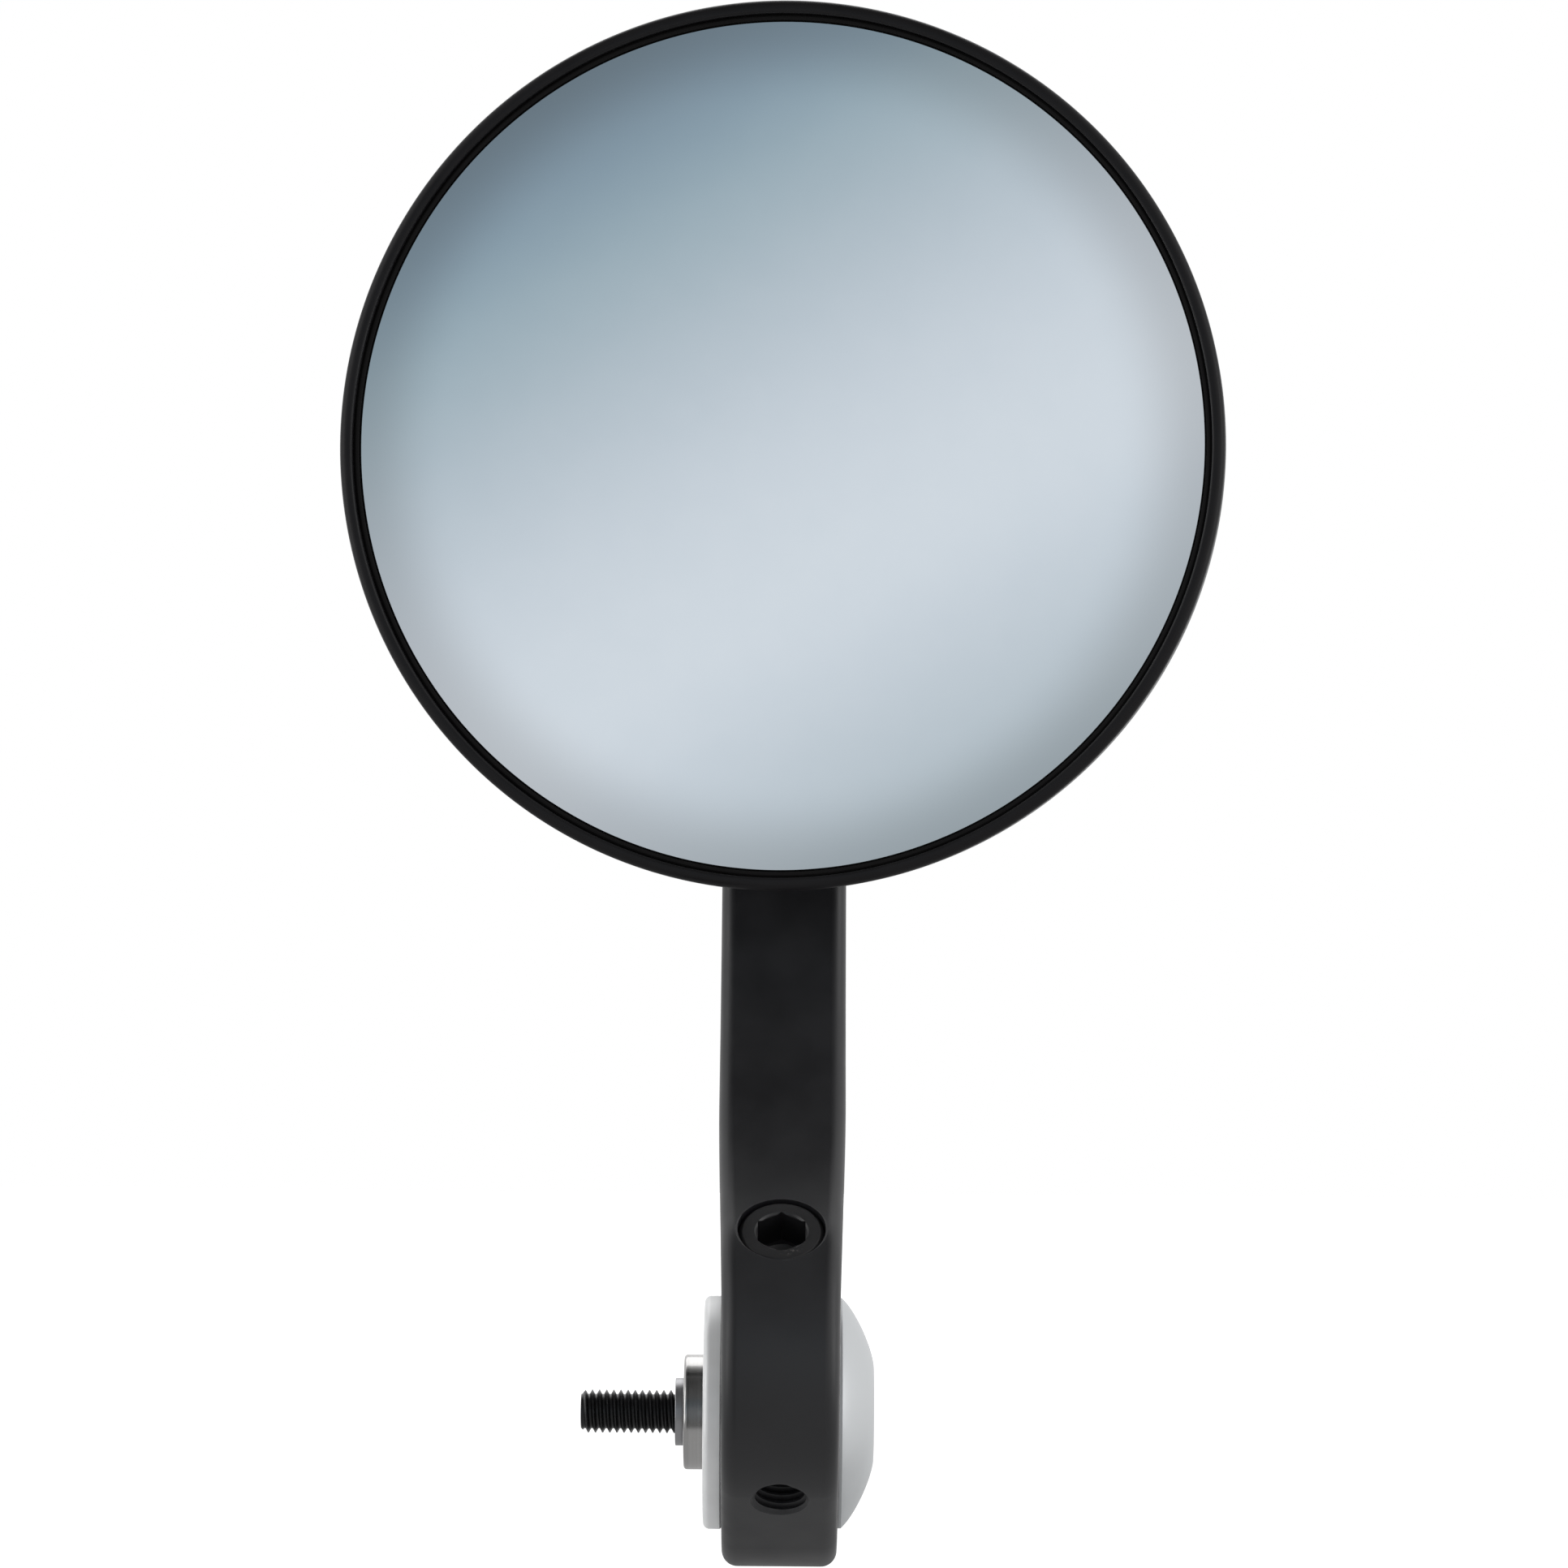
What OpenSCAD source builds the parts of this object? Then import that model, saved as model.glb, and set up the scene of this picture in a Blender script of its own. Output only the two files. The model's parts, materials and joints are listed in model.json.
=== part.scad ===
// Motorcycle bar end mirror, in millimetres.
// X is the handlebar's axis and points away from the bar. Z is up, and the glass looks towards -Y.
// The origin lies on the bar's axis, where the spigot leaves the face of the inner flange.

/* [Handlebar bolt] */
// Outside diameter of the thread
bolt_d = 6; // [5:0.5:8]
// Length of thread that stands out of the washer
bolt_reach = 13.2; // [8:0.2:30]
// Chamfer at the tip of the thread
bolt_tip = 0.6; // [0.3:0.1:1]
// Diameter of the plain shank inside the hub
shank_d = 5.4; // [4:0.1:5.8]
// Diameter of the bolt's head
bolt_head_d = 10; // [8.5:0.1:11]
// Height of the bolt's head
bolt_head_h = 6; // [3:0.1:7]
// Width across the flats of the bolt's socket
bolt_hex = 5; // [3:0.5:6]
// How far the bolt's head lies below the cap's flat
bolt_sunk = 0.5; // [0.2:0.1:1]
// Outside diameter of the small washer
washer_d = 9.4; // [8:0.1:14]
// Thickness of the small washer
washer_t = 1.2; // [0.6:0.1:2.5]
// Clearance on the radius round the bolt and its head
bolt_gap = 0.2; // [0.1:0.05:0.4]

/* [Hub] */
// Diameter of the spigot that enters the handlebar
spigot_d = 16; // [13:0.1:19]
// Length of the spigot outside the flange
spigot_len = 2.8; // [2:0.1:12]
// Rounding at the spigot's free edge
spigot_round = 0.5; // [0.2:0.1:0.9]
// How far the spigot's foot stands out round it, in the face of the flange
foot_step = 0.8; // [0.5:0.1:1.5]
// Thickness of the spigot's foot
foot_t = 1.4; // [0.8:0.1:1.8]
// Diameter of the inner flange
flange_d = 32.4; // [30.5:0.1:36]
// Thickness of the inner flange
flange_t = 2.6; // [2.2:0.1:5]
// Rounding at the flange's edge
flange_round = 0.9; // [0.3:0.1:1.1]
// Diameter of the outer cap
cap_d = 32; // [30.5:0.1:36]
// Height of the outer cap
cap_h = 5; // [4:0.1:9]
// Diameter of the flat on the outer cap
cap_flat_d = 13.6; // [12.5:0.1:17]
// Height of the cap's straight edge
cap_edge = 0.5; // [0.2:0.1:1]
// Diameter of the cap's register inside the sleeve
cap_register_d = 15; // [14:0.1:17]
// Thickness of the cap's floor under the bolt's head
cap_floor = 2.4; // [1.5:0.1:4]
// Diameter of the sleeve that the arm turns on
sleeve_d = 22; // [19:0.1:23]
// Width of the ring of the two slip washers
slip_w = 3; // [1.5:0.1:3.5]
// Thickness of the two slip washers
slip_t = 0.9; // [0.5:0.1:1.5]

/* [Arm] */
// Width of the arm between flange and cap
seat_w = 16; // [14:0.1:18]
// Width of the upper blade
blade_w = 17.7; // [14:0.1:20]
// Rounding along the arm's long edges
arm_edge = 2.2; // [1:0.1:3]
// Radius of the ring round the bar axis
ring_r = 21.3; // [19.5:0.1:24]
// Radius of the nose in front of the ring
nose_r = 22.7; // [21:0.1:24]
// How far the nose's centre lies in front of the bar axis
nose_fwd = 10; // [8:0.1:12]
// How far the nose's centre lies above the bar axis
nose_up = 9.2; // [8:0.1:11]
// Height at which the neck has become the upper blade
neck_top = 74; // [66:1:84]
// Height of the ball joint above the bar axis
ball_up = 134.5; // [118:0.5:160]
// How far the front of the upper blade lies behind the bar axis
blade_back = 17; // [15:0.1:20]
// Thickness of the upper blade
blade_t = 10; // [9:0.1:13]
// Diameter of the round boss at the arm's upper end
boss_d = 23; // [20:0.1:27]
// How far the boss stands proud of the blade on each side
boss_proud = 0.6; // [0.3:0.1:1.5]

/* [Screws in the arm] */
// Elevation of the lock screw's axis in degrees
lock_angle = 51; // [46:1:56]
// Diameter of the lock screw
lock_d = 11.6; // [9:0.1:12]
// Height of the saddle between the lock screw and the sleeve
saddle_h = 7.2; // [3:0.1:9]
// How far the lock screw's face lies below the crown of the nose
lock_sunk = 0.8; // [0.4:0.1:2]
// Width across the flats of the lock screw's socket
lock_hex = 6.5; // [4:0.1:7]
// Core diameter of the accessory thread, 6.8 for M8
tap_d = 6.8; // [4.2:0.1:7]
// Depth of the accessory thread
tap_depth = 12; // [8:0.5:12.5]
// Chamfer at the mouths of both screw holes
mouth = 0.5; // [0.2:0.1:0.7]

/* [Ball joint] */
// Diameter of the ball
ball_d = 13; // [11:0.1:13.2]
// Diameter of the ball's neck
neck_d = 5.4; // [4:0.1:5.6]
// Wall of the two spherical liners
liner_t = 1.5; // [1:0.1:1.7]
// Running clearance on each spherical surface
ball_gap = 0.05; // [0.03:0.01:0.1]
// Half angle of the opening that the neck swings in
swing_open = 52; // [50:1:56]
// Diameter of the stud's collar on the arm
collar_d = 13; // [10:0.1:16]
// Thickness of the stud's collar
collar_t = 2; // [1:0.1:3]
// Diameter of the stud's foot in the arm
foot_d = 8; // [7:0.1:9]
// Length of the stud's foot in the arm
foot_len = 5; // [3:0.1:5.5]
// Diameter of the screw that holds the stud
stud_screw_d = 5; // [4:0.5:5]
// Diameter of the clamp plate in the head
plate_d = 35; // [33:0.1:36]
// Thickness of the clamp plate
plate_t = 3.8; // [3:0.1:4.2]
// Diameter of the three clamp screws
clamp_screw_d = 3; // [2.5:0.1:3.2]
// How far the clamp screws stand inside the plate's edge
clamp_screw_in = 4.5; // [4:0.1:5]

/* [Mirror head] */
// Outside diameter of the housing
head_d = 122.4; // [110:0.1:140]
// Depth of the housing from the rim's face to its back
head_depth = 17.6; // [17:0.1:19]
// Wall of the housing
wall = 2.2; // [1.6:0.1:3]
// Width of the rim round the glass
rim_w = 1.8; // [1.4:0.1:3]
// Rounding at the rim's outer edge
rim_round = 1.2; // [0.5:0.1:1.3]
// Depth of the straight outer wall behind the rim
rim_depth = 5.5; // [4.5:0.1:7]
// Width of the rubber ring round the glass
seal_w = 0.8; // [0.5:0.1:1.5]
// Thickness of the glass
glass_t = 2; // [1.6:0.1:2.2]
// Radius of the glass's convex face
glass_curve = 1200; // [1000:50:2000]
// How far the crown of the glass lies behind the rim's face
glass_crown = 0.4; // [0.2:0.1:1]
// Thickness of the adhesive foam
pad_t = 0.6; // [0.4:0.1:0.8]
// Thickness of the carrier disc
carrier_t = 1; // [0.8:0.1:1.3]
// How far the ball's centre lies behind the rim's face
ball_deep = 13; // [12.8:0.1:13.6]
// How far the rim's face lies in front of the bar axis
rim_fwd = 14; // [13:0.1:18]
// How far the head is turned towards the handlebar at rest, in degrees
head_turn = 6; // [0:1:10]

/* [Hidden] */
$fn = 96;
// Cuts run this far past the face that they start from
past = 1;
// Flat faces of pieces that turn against each other lie this far apart
slip_gap = 0.05;
// Pieces that are seated in a recess have this much room on the radius
seat_gap = 0.1;
// The layers behind the glass lie this far apart
film = 0.01;

// Places along the bar axis
flange_face = flange_t;
arm_lo = flange_face + slip_gap;
arm_hi = arm_lo + seat_w;
cap_face = arm_hi + slip_gap;
cap_top = cap_face + cap_h;
arm_mid = (arm_lo + arm_hi) / 2;
washer_face = -spigot_len - washer_t;
bolt_tip_x = washer_face - bolt_reach;
bolt_seat = cap_top - bolt_head_h - bolt_sunk;
cap_low = bolt_seat - cap_floor;
hole_r = bolt_d / 2 + bolt_gap;
slip_r = sleeve_d / 2 + slip_w;

// Places up the arm
ball_y = ball_deep - rim_fwd;
blade_front = blade_back;
blade_rear = blade_back + blade_t;
boss_front = blade_front - boss_proud;
boss_rear = blade_rear + boss_proud;

// Radii round the ball
ball_r = ball_d / 2;
liner_in = ball_r + ball_gap;
liner_out = liner_in + liner_t;
pocket_r = liner_out + ball_gap;

// The liners' zones, as angles from the front of the ball: apart enough for the head's full swing
front_zone = [12, 76];
rear_zone = [96, 180 - swing_open];

// Radii and depths in the head, where s counts forward from the ball's centre
head_r = head_d / 2;
rim_s = ball_deep;
back_s = rim_s - head_depth;
recess_r = head_r - rim_w;
glass_r = recess_r - seal_w;
crown_s = rim_s - glass_crown;
stack_t = glass_t + pad_t + carrier_t;
ledge_s = glass_s(recess_r) - stack_t;
// The carrier lies on a ledge this wide
ledge_w = 2.4;
cavity_r = recess_r - ledge_w;
// How far the clamp plate lies behind the rim's face, and its clearance to the housing
plate_deep = 5.8;
plate_gap = 0.4;
plate_top = rim_s - plate_deep;
plate_low = plate_top - plate_t;
boss_top = plate_low - plate_gap;
clamp_circle_r = plate_d / 2 - clamp_screw_in;

// Height of the convex glass face at a radius
function glass_s(r) = crown_s - glass_curve + sqrt(glass_curve * glass_curve - r * r);

// Points on an arc from angle a to angle b
function arc(c, r, a, b, n) = [for (i = [0 : n]) let (t = a + (b - a) * i / n) c + r * [cos(t), sin(t)]];

// Points on a cubic curve, without its first point
function curve(p, q, r, s, n) = [for (i = [1 : n]) let (t = i / n, u = 1 - t)
    u * u * u * p + 3 * u * u * t * q + 3 * u * t * t * r + t * t * t * s];

function unit(v) = v / norm(v);

// A direction in the side view at an angle
function heading(a) = [cos(a), sin(a)];

// Turns a profile of [distance along the bar, radius] into a solid round the bar axis
module turned(points, faces = 96) {
    rotate([90, 0, 90])
        rotate_extrude($fn = faces)
            polygon([for (p = points) [p[1], p[0]]]);
}

// A ring round the bar axis
module ring(lo, hi, r_in, r_out) {
    turned([[lo, r_in], [hi, r_in], [hi, r_out], [lo, r_out]]);
}

// A cylinder along the bar axis
module bar(lo, hi, r, faces = 96) {
    translate([lo, 0, 0])
        rotate([0, 90, 0])
            cylinder(h = hi - lo, r = r, $fn = faces);
}

// A hexagon along +Z, measured across its flats
module hexagon(h, flats) {
    cylinder(h = h, d = flats / cos(30), $fn = 6);
}

// The bar side: flange, spigot, washer and bolt

module inner_flange() {
    r = flange_d / 2;
    seat_r = spigot_d / 2 + foot_step + seat_gap;
    seat_floor = foot_t + seat_gap;
    edge = arc([flange_round, r - flange_round], flange_round, 180, 90, 6);
    color("gainsboro")
        turned(concat([[0, seat_r]], edge, [[flange_t, r], [flange_t, hole_r], [seat_floor, hole_r],
            [seat_floor, seat_r]]));
}

// The spigot's foot is let into the flange, level with its face
module spigot() {
    r = spigot_d / 2;
    foot_r = r + foot_step;
    edge = arc([spigot_round - spigot_len, r - spigot_round], spigot_round, 180, 90, 5);
    color("silver")
        turned(concat([[-spigot_len, hole_r]], edge, [[0, r], [0, foot_r], [foot_t, foot_r], [foot_t, hole_r]]));
}

module bolt_washer() {
    color("darkgray")
        ring(washer_face, -spigot_len, hole_r, washer_d / 2);
}

module bar_bolt() {
    r = bolt_d / 2;
    head_r = bolt_head_d / 2;
    soft = 0.5;
    head_top = bolt_seat + bolt_head_h;
    color([0.1, 0.1, 0.1])
        difference() {
            turned(concat([[bolt_tip_x, 0], [bolt_tip_x, r - bolt_tip], [bolt_tip_x + bolt_tip, r], [washer_face, r],
                [washer_face, shank_d / 2], [bolt_seat, shank_d / 2], [bolt_seat, head_r]],
                arc([head_top - soft, head_r - soft], soft, 90, 0, 4), [[head_top, 0]]));
            translate([head_top - bolt_head_h / 2, 0, 0])
                rotate([0, 90, 0])
                    hexagon(bolt_head_h, bolt_hex);
        }
}

// The hub: sleeve, cap and slip washers

module clamp_sleeve() {
    r = sleeve_d / 2;
    bore = cap_register_d / 2 + seat_gap;
    color("silver")
        turned([[flange_face, hole_r], [cap_low - seat_gap, hole_r], [cap_low - seat_gap, bore], [cap_face, bore],
            [cap_face, r], [flange_face, r]]);
}

module outer_cap() {
    r = cap_d / 2;
    flat_r = cap_flat_d / 2;
    start = [cap_face + cap_edge, r];
    end = [cap_top, flat_r];
    rise = cap_h - cap_edge;
    crown = curve(start, start + rise * [0.4, -0.35], end + rise * [-0.09, 0.64], end, 16);
    recess = bolt_head_d / 2 + bolt_gap;
    register = cap_register_d / 2;
    color("gainsboro")
        turned(concat([[cap_low, hole_r], [cap_low, register], [cap_face, register], [cap_face, r], start], crown,
            [[cap_top, recess], [bolt_seat, recess], [bolt_seat, hole_r]]));
}

module inner_slip_washer() {
    color("ivory")
        ring(flange_face, flange_face + slip_t, sleeve_d / 2 + seat_gap, slip_r);
}

module outer_slip_washer() {
    color("ivory")
        ring(cap_face - slip_t, cap_face, sleeve_d / 2 + seat_gap, slip_r);
}

// The arm, as a side outline whose edges are rounded over towards both side faces

nose = [-nose_fwd, nose_up];
// Both circles share a tangent, whose normal has this angle
nose_angle = atan2(nose_up, -nose_fwd);
chin_angle = nose_angle + acos((ring_r - nose_r) / norm(nose));
// The nose ends at this angle, where the hollow of the neck starts
brow_angle = 122;
brow = nose + nose_r * heading(brow_angle);
// The ring ends at this angle, where the back of the neck starts
nape_angle = 25;
nape = ring_r * heading(nape_angle);
// The neck leans back by this much for each millimetre of height, and is upright again above the bend
lean = 0.34;
neck_front = blade_front - 5;
neck_rear = blade_rear - 3.5;
bend_top = neck_top + 38;
// The arm widens between these heights
flare_low = 14.5;
flare_high = 44;

// A smooth step from a to b, with a slope at each end
function ease(a, slope_a, b, slope_b, low, high, z) = let (h = high - low, t = (z - low) / h, u = 1 - t)
    a * u * u * (1 + 2 * t) + b * t * t * (3 - 2 * t) + h * slope_a * t * u * u - h * slope_b * t * t * u;

// How sharply the hollow of the neck turns away from the nose
hollow_drop = neck_front - lean * (neck_top - brow[1]) - brow[0];
hollow_power = (1 / tan(brow_angle - 90) - lean) * (neck_top - brow[1]) / hollow_drop;

// Front and rear face of the arm at a height
function front_y(z) =
    z < brow[1] ? nose[0] - sqrt(nose_r * nose_r - (z - nose[1]) * (z - nose[1])) :
    z < neck_top ? neck_front - lean * (neck_top - z) - hollow_drop
        * pow((neck_top - z) / (neck_top - brow[1]), hollow_power) :
    z < bend_top ? ease(neck_front, lean, blade_front, 0, neck_top, bend_top, z) : blade_front;
function rear_y(z) =
    z < neck_top ? ease(nape[0], -tan(nape_angle), neck_rear, lean, nape[1], neck_top, z) :
    z < bend_top ? ease(neck_rear, lean, blade_rear, 0, neck_top, bend_top, z) : blade_rear;
function half_width(z) = z < flare_low ? seat_w / 2 :
    z < flare_high ? ease(seat_w / 2, 0, blade_w / 2, 0, flare_low, flare_high, z) : blade_w / 2;

// The heights at which both faces have a point
front_turn = 180 - asin((flare_low - nose[1]) / nose_r);
levels = concat([for (i = [0 : 8]) nose[1] + nose_r * sin(front_turn + (brow_angle - front_turn) * i / 8)],
    [for (i = [1 : 14]) brow[1] + (neck_top - brow[1]) * pow(i / 14, 1.3)],
    [for (i = [1 : 7]) neck_top + (bend_top - neck_top) * i / 7], [ball_up]);
low_front = concat(arc([0, 0], ring_r, 270, chin_angle, 6),
    [for (i = [1 : 14]) nose + nose_r * heading(chin_angle + (front_turn - chin_angle) * i / 15)]);
low_rear = concat([for (i = [2 : -1 : 1]) let (z = nape[1] + (flare_low - nape[1]) * i / 3) [rear_y(z), z]],
    arc([0, 0], ring_r, nape_angle, -80, 15));
outline = concat(low_front, [for (z = levels) [front_y(z), z]],
    [for (i = [len(levels) - 1 : -1 : 0]) [rear_y(levels[i]), levels[i]]], low_rear);

// Outward normal of the outline at a point
function outward(i) = let (n = len(outline), d = unit(outline[(i + 1) % n] - outline[(i + n - 1) % n])) [-d[1], d[0]];

// One loop of the arm's skin, where side is -1 or 1 and turn runs from 0 on the edge to 90 on the side face
function loop(side, turn) = [for (i = [0 : len(outline) - 1])
    let (p = outline[i] - outward(i) * arm_edge * (1 - cos(turn)))
    [arm_mid + side * (half_width(p[1]) - arm_edge * (1 - sin(turn))), p[0], p[1]]];

// A side face: one flat polygon round the bar axis, and strips across the neck and the blade
function side_faces(first) = let (n = len(outline), a = len(low_front), m = len(levels), b = a + 2 * m - 1)
    concat([[for (i = [0 : a]) first + i, for (i = [b : n - 1]) first + i]],
        [for (i = [0 : m - 2]) for (face = [[a + i, a + i + 1, b - i], [a + i + 1, b - i - 1, b - i]])
            face + first * [1, 1, 1]]);

function backwards(face) = [for (i = [len(face) - 1 : -1 : 0]) face[i]];

module arm_bar() {
    turns = [90, 68, 45, 22, 0];
    loops = concat([for (t = turns) loop(-1, t)], [for (i = [len(turns) - 1 : -1 : 0]) loop(1, turns[i])]);
    n = len(outline);
    last = len(loops) - 1;
    walls = [for (k = [0 : last - 1]) for (i = [0 : n - 1]) let (j = (i + 1) % n)
        for (face = [[k * n + i, k * n + j, (k + 1) * n + j], [k * n + i, (k + 1) * n + j, (k + 1) * n + i]]) face];
    low_side = [for (face = side_faces(0)) backwards(face)];
    polyhedron(points = [for (l = loops) for (p = l) p], faces = concat(walls, low_side, side_faces(last * n)),
        convexity = 6);
}

// Stands its children on the arm's upper end, with +Z towards the back
module at_boss() {
    translate([arm_mid, 0, ball_up])
        rotate([-90, 0, 0])
            children();
}

module arm_boss() {
    r = boss_d / 2;
    soft = 1.6;
    at_boss()
        rotate_extrude()
            polygon(concat([[0, boss_front]], arc([r - soft, boss_front + soft], soft, -90, 0, 6),
                arc([r - soft, boss_rear - soft], soft, 0, 90, 6), [[0, boss_rear]]));
}

// Where the lock screw's axis leaves the nose, as a distance from the bar axis
lock_dir = heading(180 - lock_angle);
lock_along = lock_dir * nose;
lock_crown = lock_along + sqrt(lock_along * lock_along + nose_r * nose_r - nose * nose);
lock_top = lock_crown - lock_sunk;
lock_low = sleeve_d / 2 + saddle_h;
lock_hole_r = lock_d / 2 + 0.2;

// Stands its children on the lock screw's axis, with +Z pointing out of the arm
module on_lock_axis() {
    translate([arm_mid, 0, 0])
        rotate([90 - lock_angle, 0, 0])
            children();
}

// Stands its children on the mouth of the accessory thread, with +Z pointing out of the arm
tap_at = nose + nose_r * heading(chin_angle);
module on_tap_axis() {
    translate([arm_mid, tap_at[0], tap_at[1]])
        rotate([chin_angle - 90, 0, 0])
            children();
}

sleeve_hole_r = sleeve_d / 2 + 0.05;

module arm() {
    foot_gap = 0.05;
    color([0.15, 0.15, 0.16])
        difference() {
            union() {
                arm_bar();
                arm_boss();
            }
            // The hole that turns on the sleeve, and the recesses of the slip washers
            bar(-past, cap_top, sleeve_hole_r);
            bar(arm_lo - past, arm_lo + slip_t, slip_r + seat_gap);
            bar(arm_hi - slip_t, arm_hi + past, slip_r + seat_gap);
            // Lock screw
            on_lock_axis() {
                translate([0, 0, sleeve_hole_r - 2])
                    cylinder(h = lock_crown, r = lock_hole_r);
                translate([0, 0, lock_crown - mouth])
                    cylinder(h = mouth + past, r1 = lock_hole_r, r2 = lock_hole_r + mouth + past);
            }
            // Accessory thread
            on_tap_axis() {
                translate([0, 0, -tap_depth])
                    cylinder(h = tap_depth + past, d = tap_d);
                translate([0, 0, -mouth])
                    cylinder(h = mouth + past, r1 = tap_d / 2, r2 = tap_d / 2 + mouth + past);
            }
            // Foot of the ball stud, and its screw with a counterbore
            at_boss() {
                translate([0, 0, boss_front - past])
                    cylinder(h = foot_len + 0.3 + past, d = foot_d + 2 * foot_gap);
                cylinder(h = boss_rear + past, d = stud_screw_d + 0.4);
                translate([0, 0, boss_rear - stud_sink])
                    cylinder(h = stud_sink + past, d = stud_head_d + 1);
            }
        }
}

module lock_screw() {
    r = lock_d / 2;
    chamfer = 0.5;
    socket_deep = lock_hex * 0.8;
    color([0.12, 0.12, 0.12])
        on_lock_axis()
            difference() {
                rotate_extrude()
                    polygon([[0, lock_low], [r - chamfer, lock_low], [r, lock_low + chamfer], [r, lock_top - chamfer],
                        [r - chamfer, lock_top], [0, lock_top]]);
                translate([0, 0, lock_top - socket_deep])
                    rotate([0, 0, 30])
                        hexagon(lock_hex, lock_hex);
            }
}

module lock_pad() {
    sleeve_r = sleeve_d / 2;
    hollow = 3;
    play = 0.2;
    rest_gap = 0.3;
    color("goldenrod")
        difference() {
            on_lock_axis()
                translate([0, 0, sleeve_r - hollow])
                    cylinder(h = lock_low - sleeve_r + hollow, r = lock_d / 2 - play);
            bar(-past, cap_top, sleeve_r + rest_gap);
        }
}

// The ball joint

stud_head_d = 9;
stud_head_h = 2.6;
stud_washer_t = 0.8;
stud_sink = 3.6;

module ball_stud() {
    neck_r = neck_d / 2;
    collar_top = boss_front - collar_t;
    collar_r = collar_d / 2;
    soft = 0.5;
    color("silver")
        at_boss()
            difference() {
                union() {
                    translate([0, 0, ball_y])
                        sphere(r = ball_r);
                    translate([0, 0, ball_y])
                        cylinder(h = boss_front - ball_y, r = neck_r);
                    rotate_extrude()
                        polygon([[0, collar_top], [collar_r - soft, collar_top], [collar_r, collar_top + soft],
                            [collar_r, boss_front], [foot_d / 2, boss_front], [foot_d / 2, boss_front + foot_len],
                            [0, boss_front + foot_len]]);
                }
                translate([0, 0, boss_front + foot_len - stud_tap])
                    cylinder(h = stud_tap + past, d = stud_screw_d + 0.2);
            }
}

stud_tap = 8;

module stud_washer() {
    seat = boss_rear - stud_sink;
    color("silver")
        at_boss()
            translate([0, 0, seat])
                difference() {
                    cylinder(h = stud_washer_t, d = stud_head_d + 0.4);
                    translate([0, 0, -past])
                        cylinder(h = stud_washer_t + 2 * past, d = stud_screw_d + 0.4);
                }
}

module stud_screw() {
    seat = boss_rear - stud_sink + stud_washer_t;
    tip = boss_front + foot_len - stud_tap + 0.5;
    head_r = stud_head_d / 2;
    soft = 1.6;
    socket_deep = 1.8;
    socket_hex = 3;
    color([0.12, 0.12, 0.12])
        at_boss()
            difference() {
                rotate_extrude()
                    polygon(concat([[0, tip], [stud_screw_d / 2, tip], [stud_screw_d / 2, seat], [head_r, seat]],
                        arc([head_r - soft, seat + stud_head_h - soft], soft, 0, 90, 6), [[0, seat + stud_head_h]]));
                translate([0, 0, seat + stud_head_h - socket_deep])
                    hexagon(past + socket_deep, socket_hex);
            }
}

// Stands its children on the ball's centre, with +Z coming out of the glass
module on_head() {
    translate([arm_mid, ball_y, ball_up])
        rotate([90, 0, -head_turn])
            children();
}

// A zone of a spherical shell, between two angles from the front pole
module zone(r_in, r_out, from, to) {
    rotate_extrude()
        polygon(concat(arc([0, 0], r_out, 90 - from, 90 - to, 16), arc([0, 0], r_in, 90 - to, 90 - from, 16)));
}

module front_liner() {
    color("ivory")
        on_head()
            zone(liner_in, liner_out, front_zone[0], front_zone[1]);
}

module rear_liner() {
    color("ivory")
        on_head()
            zone(liner_in, liner_out, rear_zone[0], rear_zone[1]);
}

module clamp_plate() {
    middle_r = 4;
    color("dimgray")
        on_head()
            difference() {
                translate([0, 0, plate_low])
                    cylinder(h = plate_t, d = plate_d);
                sphere(r = pocket_r);
                cylinder(h = rim_s, r = middle_r);
                each_clamp_screw()
                    translate([0, 0, plate_low - past])
                        cylinder(h = plate_t + 2 * past, d = clamp_screw_d + 0.4);
            }
}

module each_clamp_screw() {
    for (a = [90, 210, 330])
        rotate([0, 0, a])
            translate([clamp_circle_r, 0, 0])
                children();
}

clamp_head_d = 5.6;
clamp_head_h = 1.6;
spring_t = 0.5;
clamp_tip = boss_top - 4.5;

module spring_washers() {
    color("silver")
        on_head()
            each_clamp_screw()
                translate([0, 0, plate_top])
                    rotate_extrude()
                        polygon([[clamp_screw_d / 2 + 0.2, 0.2], [clamp_head_d / 2 + 0.1, 0],
                            [clamp_head_d / 2 + 0.1, spring_t - 0.2], [clamp_screw_d / 2 + 0.2, spring_t]]);
}

module clamp_screws() {
    head_at = plate_top + spring_t;
    socket_deep = 1;
    socket_hex = 2;
    color([0.3, 0.3, 0.3])
        on_head()
            each_clamp_screw()
                difference() {
                    union() {
                        translate([0, 0, clamp_tip])
                            cylinder(h = head_at - clamp_tip, d = clamp_screw_d);
                        translate([0, 0, head_at])
                            cylinder(h = clamp_head_h, d = clamp_head_d);
                    }
                    translate([0, 0, head_at + clamp_head_h - socket_deep])
                        hexagon(past + socket_deep, socket_hex);
                }
}

// The mirror head, turned about the axis of the glass

// The flat middle of the housing's back
back_flat_r = plate_d / 2;
dome_rise = 1.7;
dome_dir = unit([1, 0.075]);

// Back of the housing, at a depth inside its skin: a shallow dome that meets the straight wall in a round shoulder
function back_curve(off) = let (
        low = back_s + off,
        dome = [head_r - 14 - off / 2, low + dome_rise],
        wall_end = [head_r - off, rim_s - rim_depth])
    concat(curve(wall_end, wall_end - [0, 7.3], dome + 8 * dome_dir, dome, 14),
        curve(dome, dome - 16 * dome_dir, [back_flat_r + 5, low], [back_flat_r, low], 8));

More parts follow.
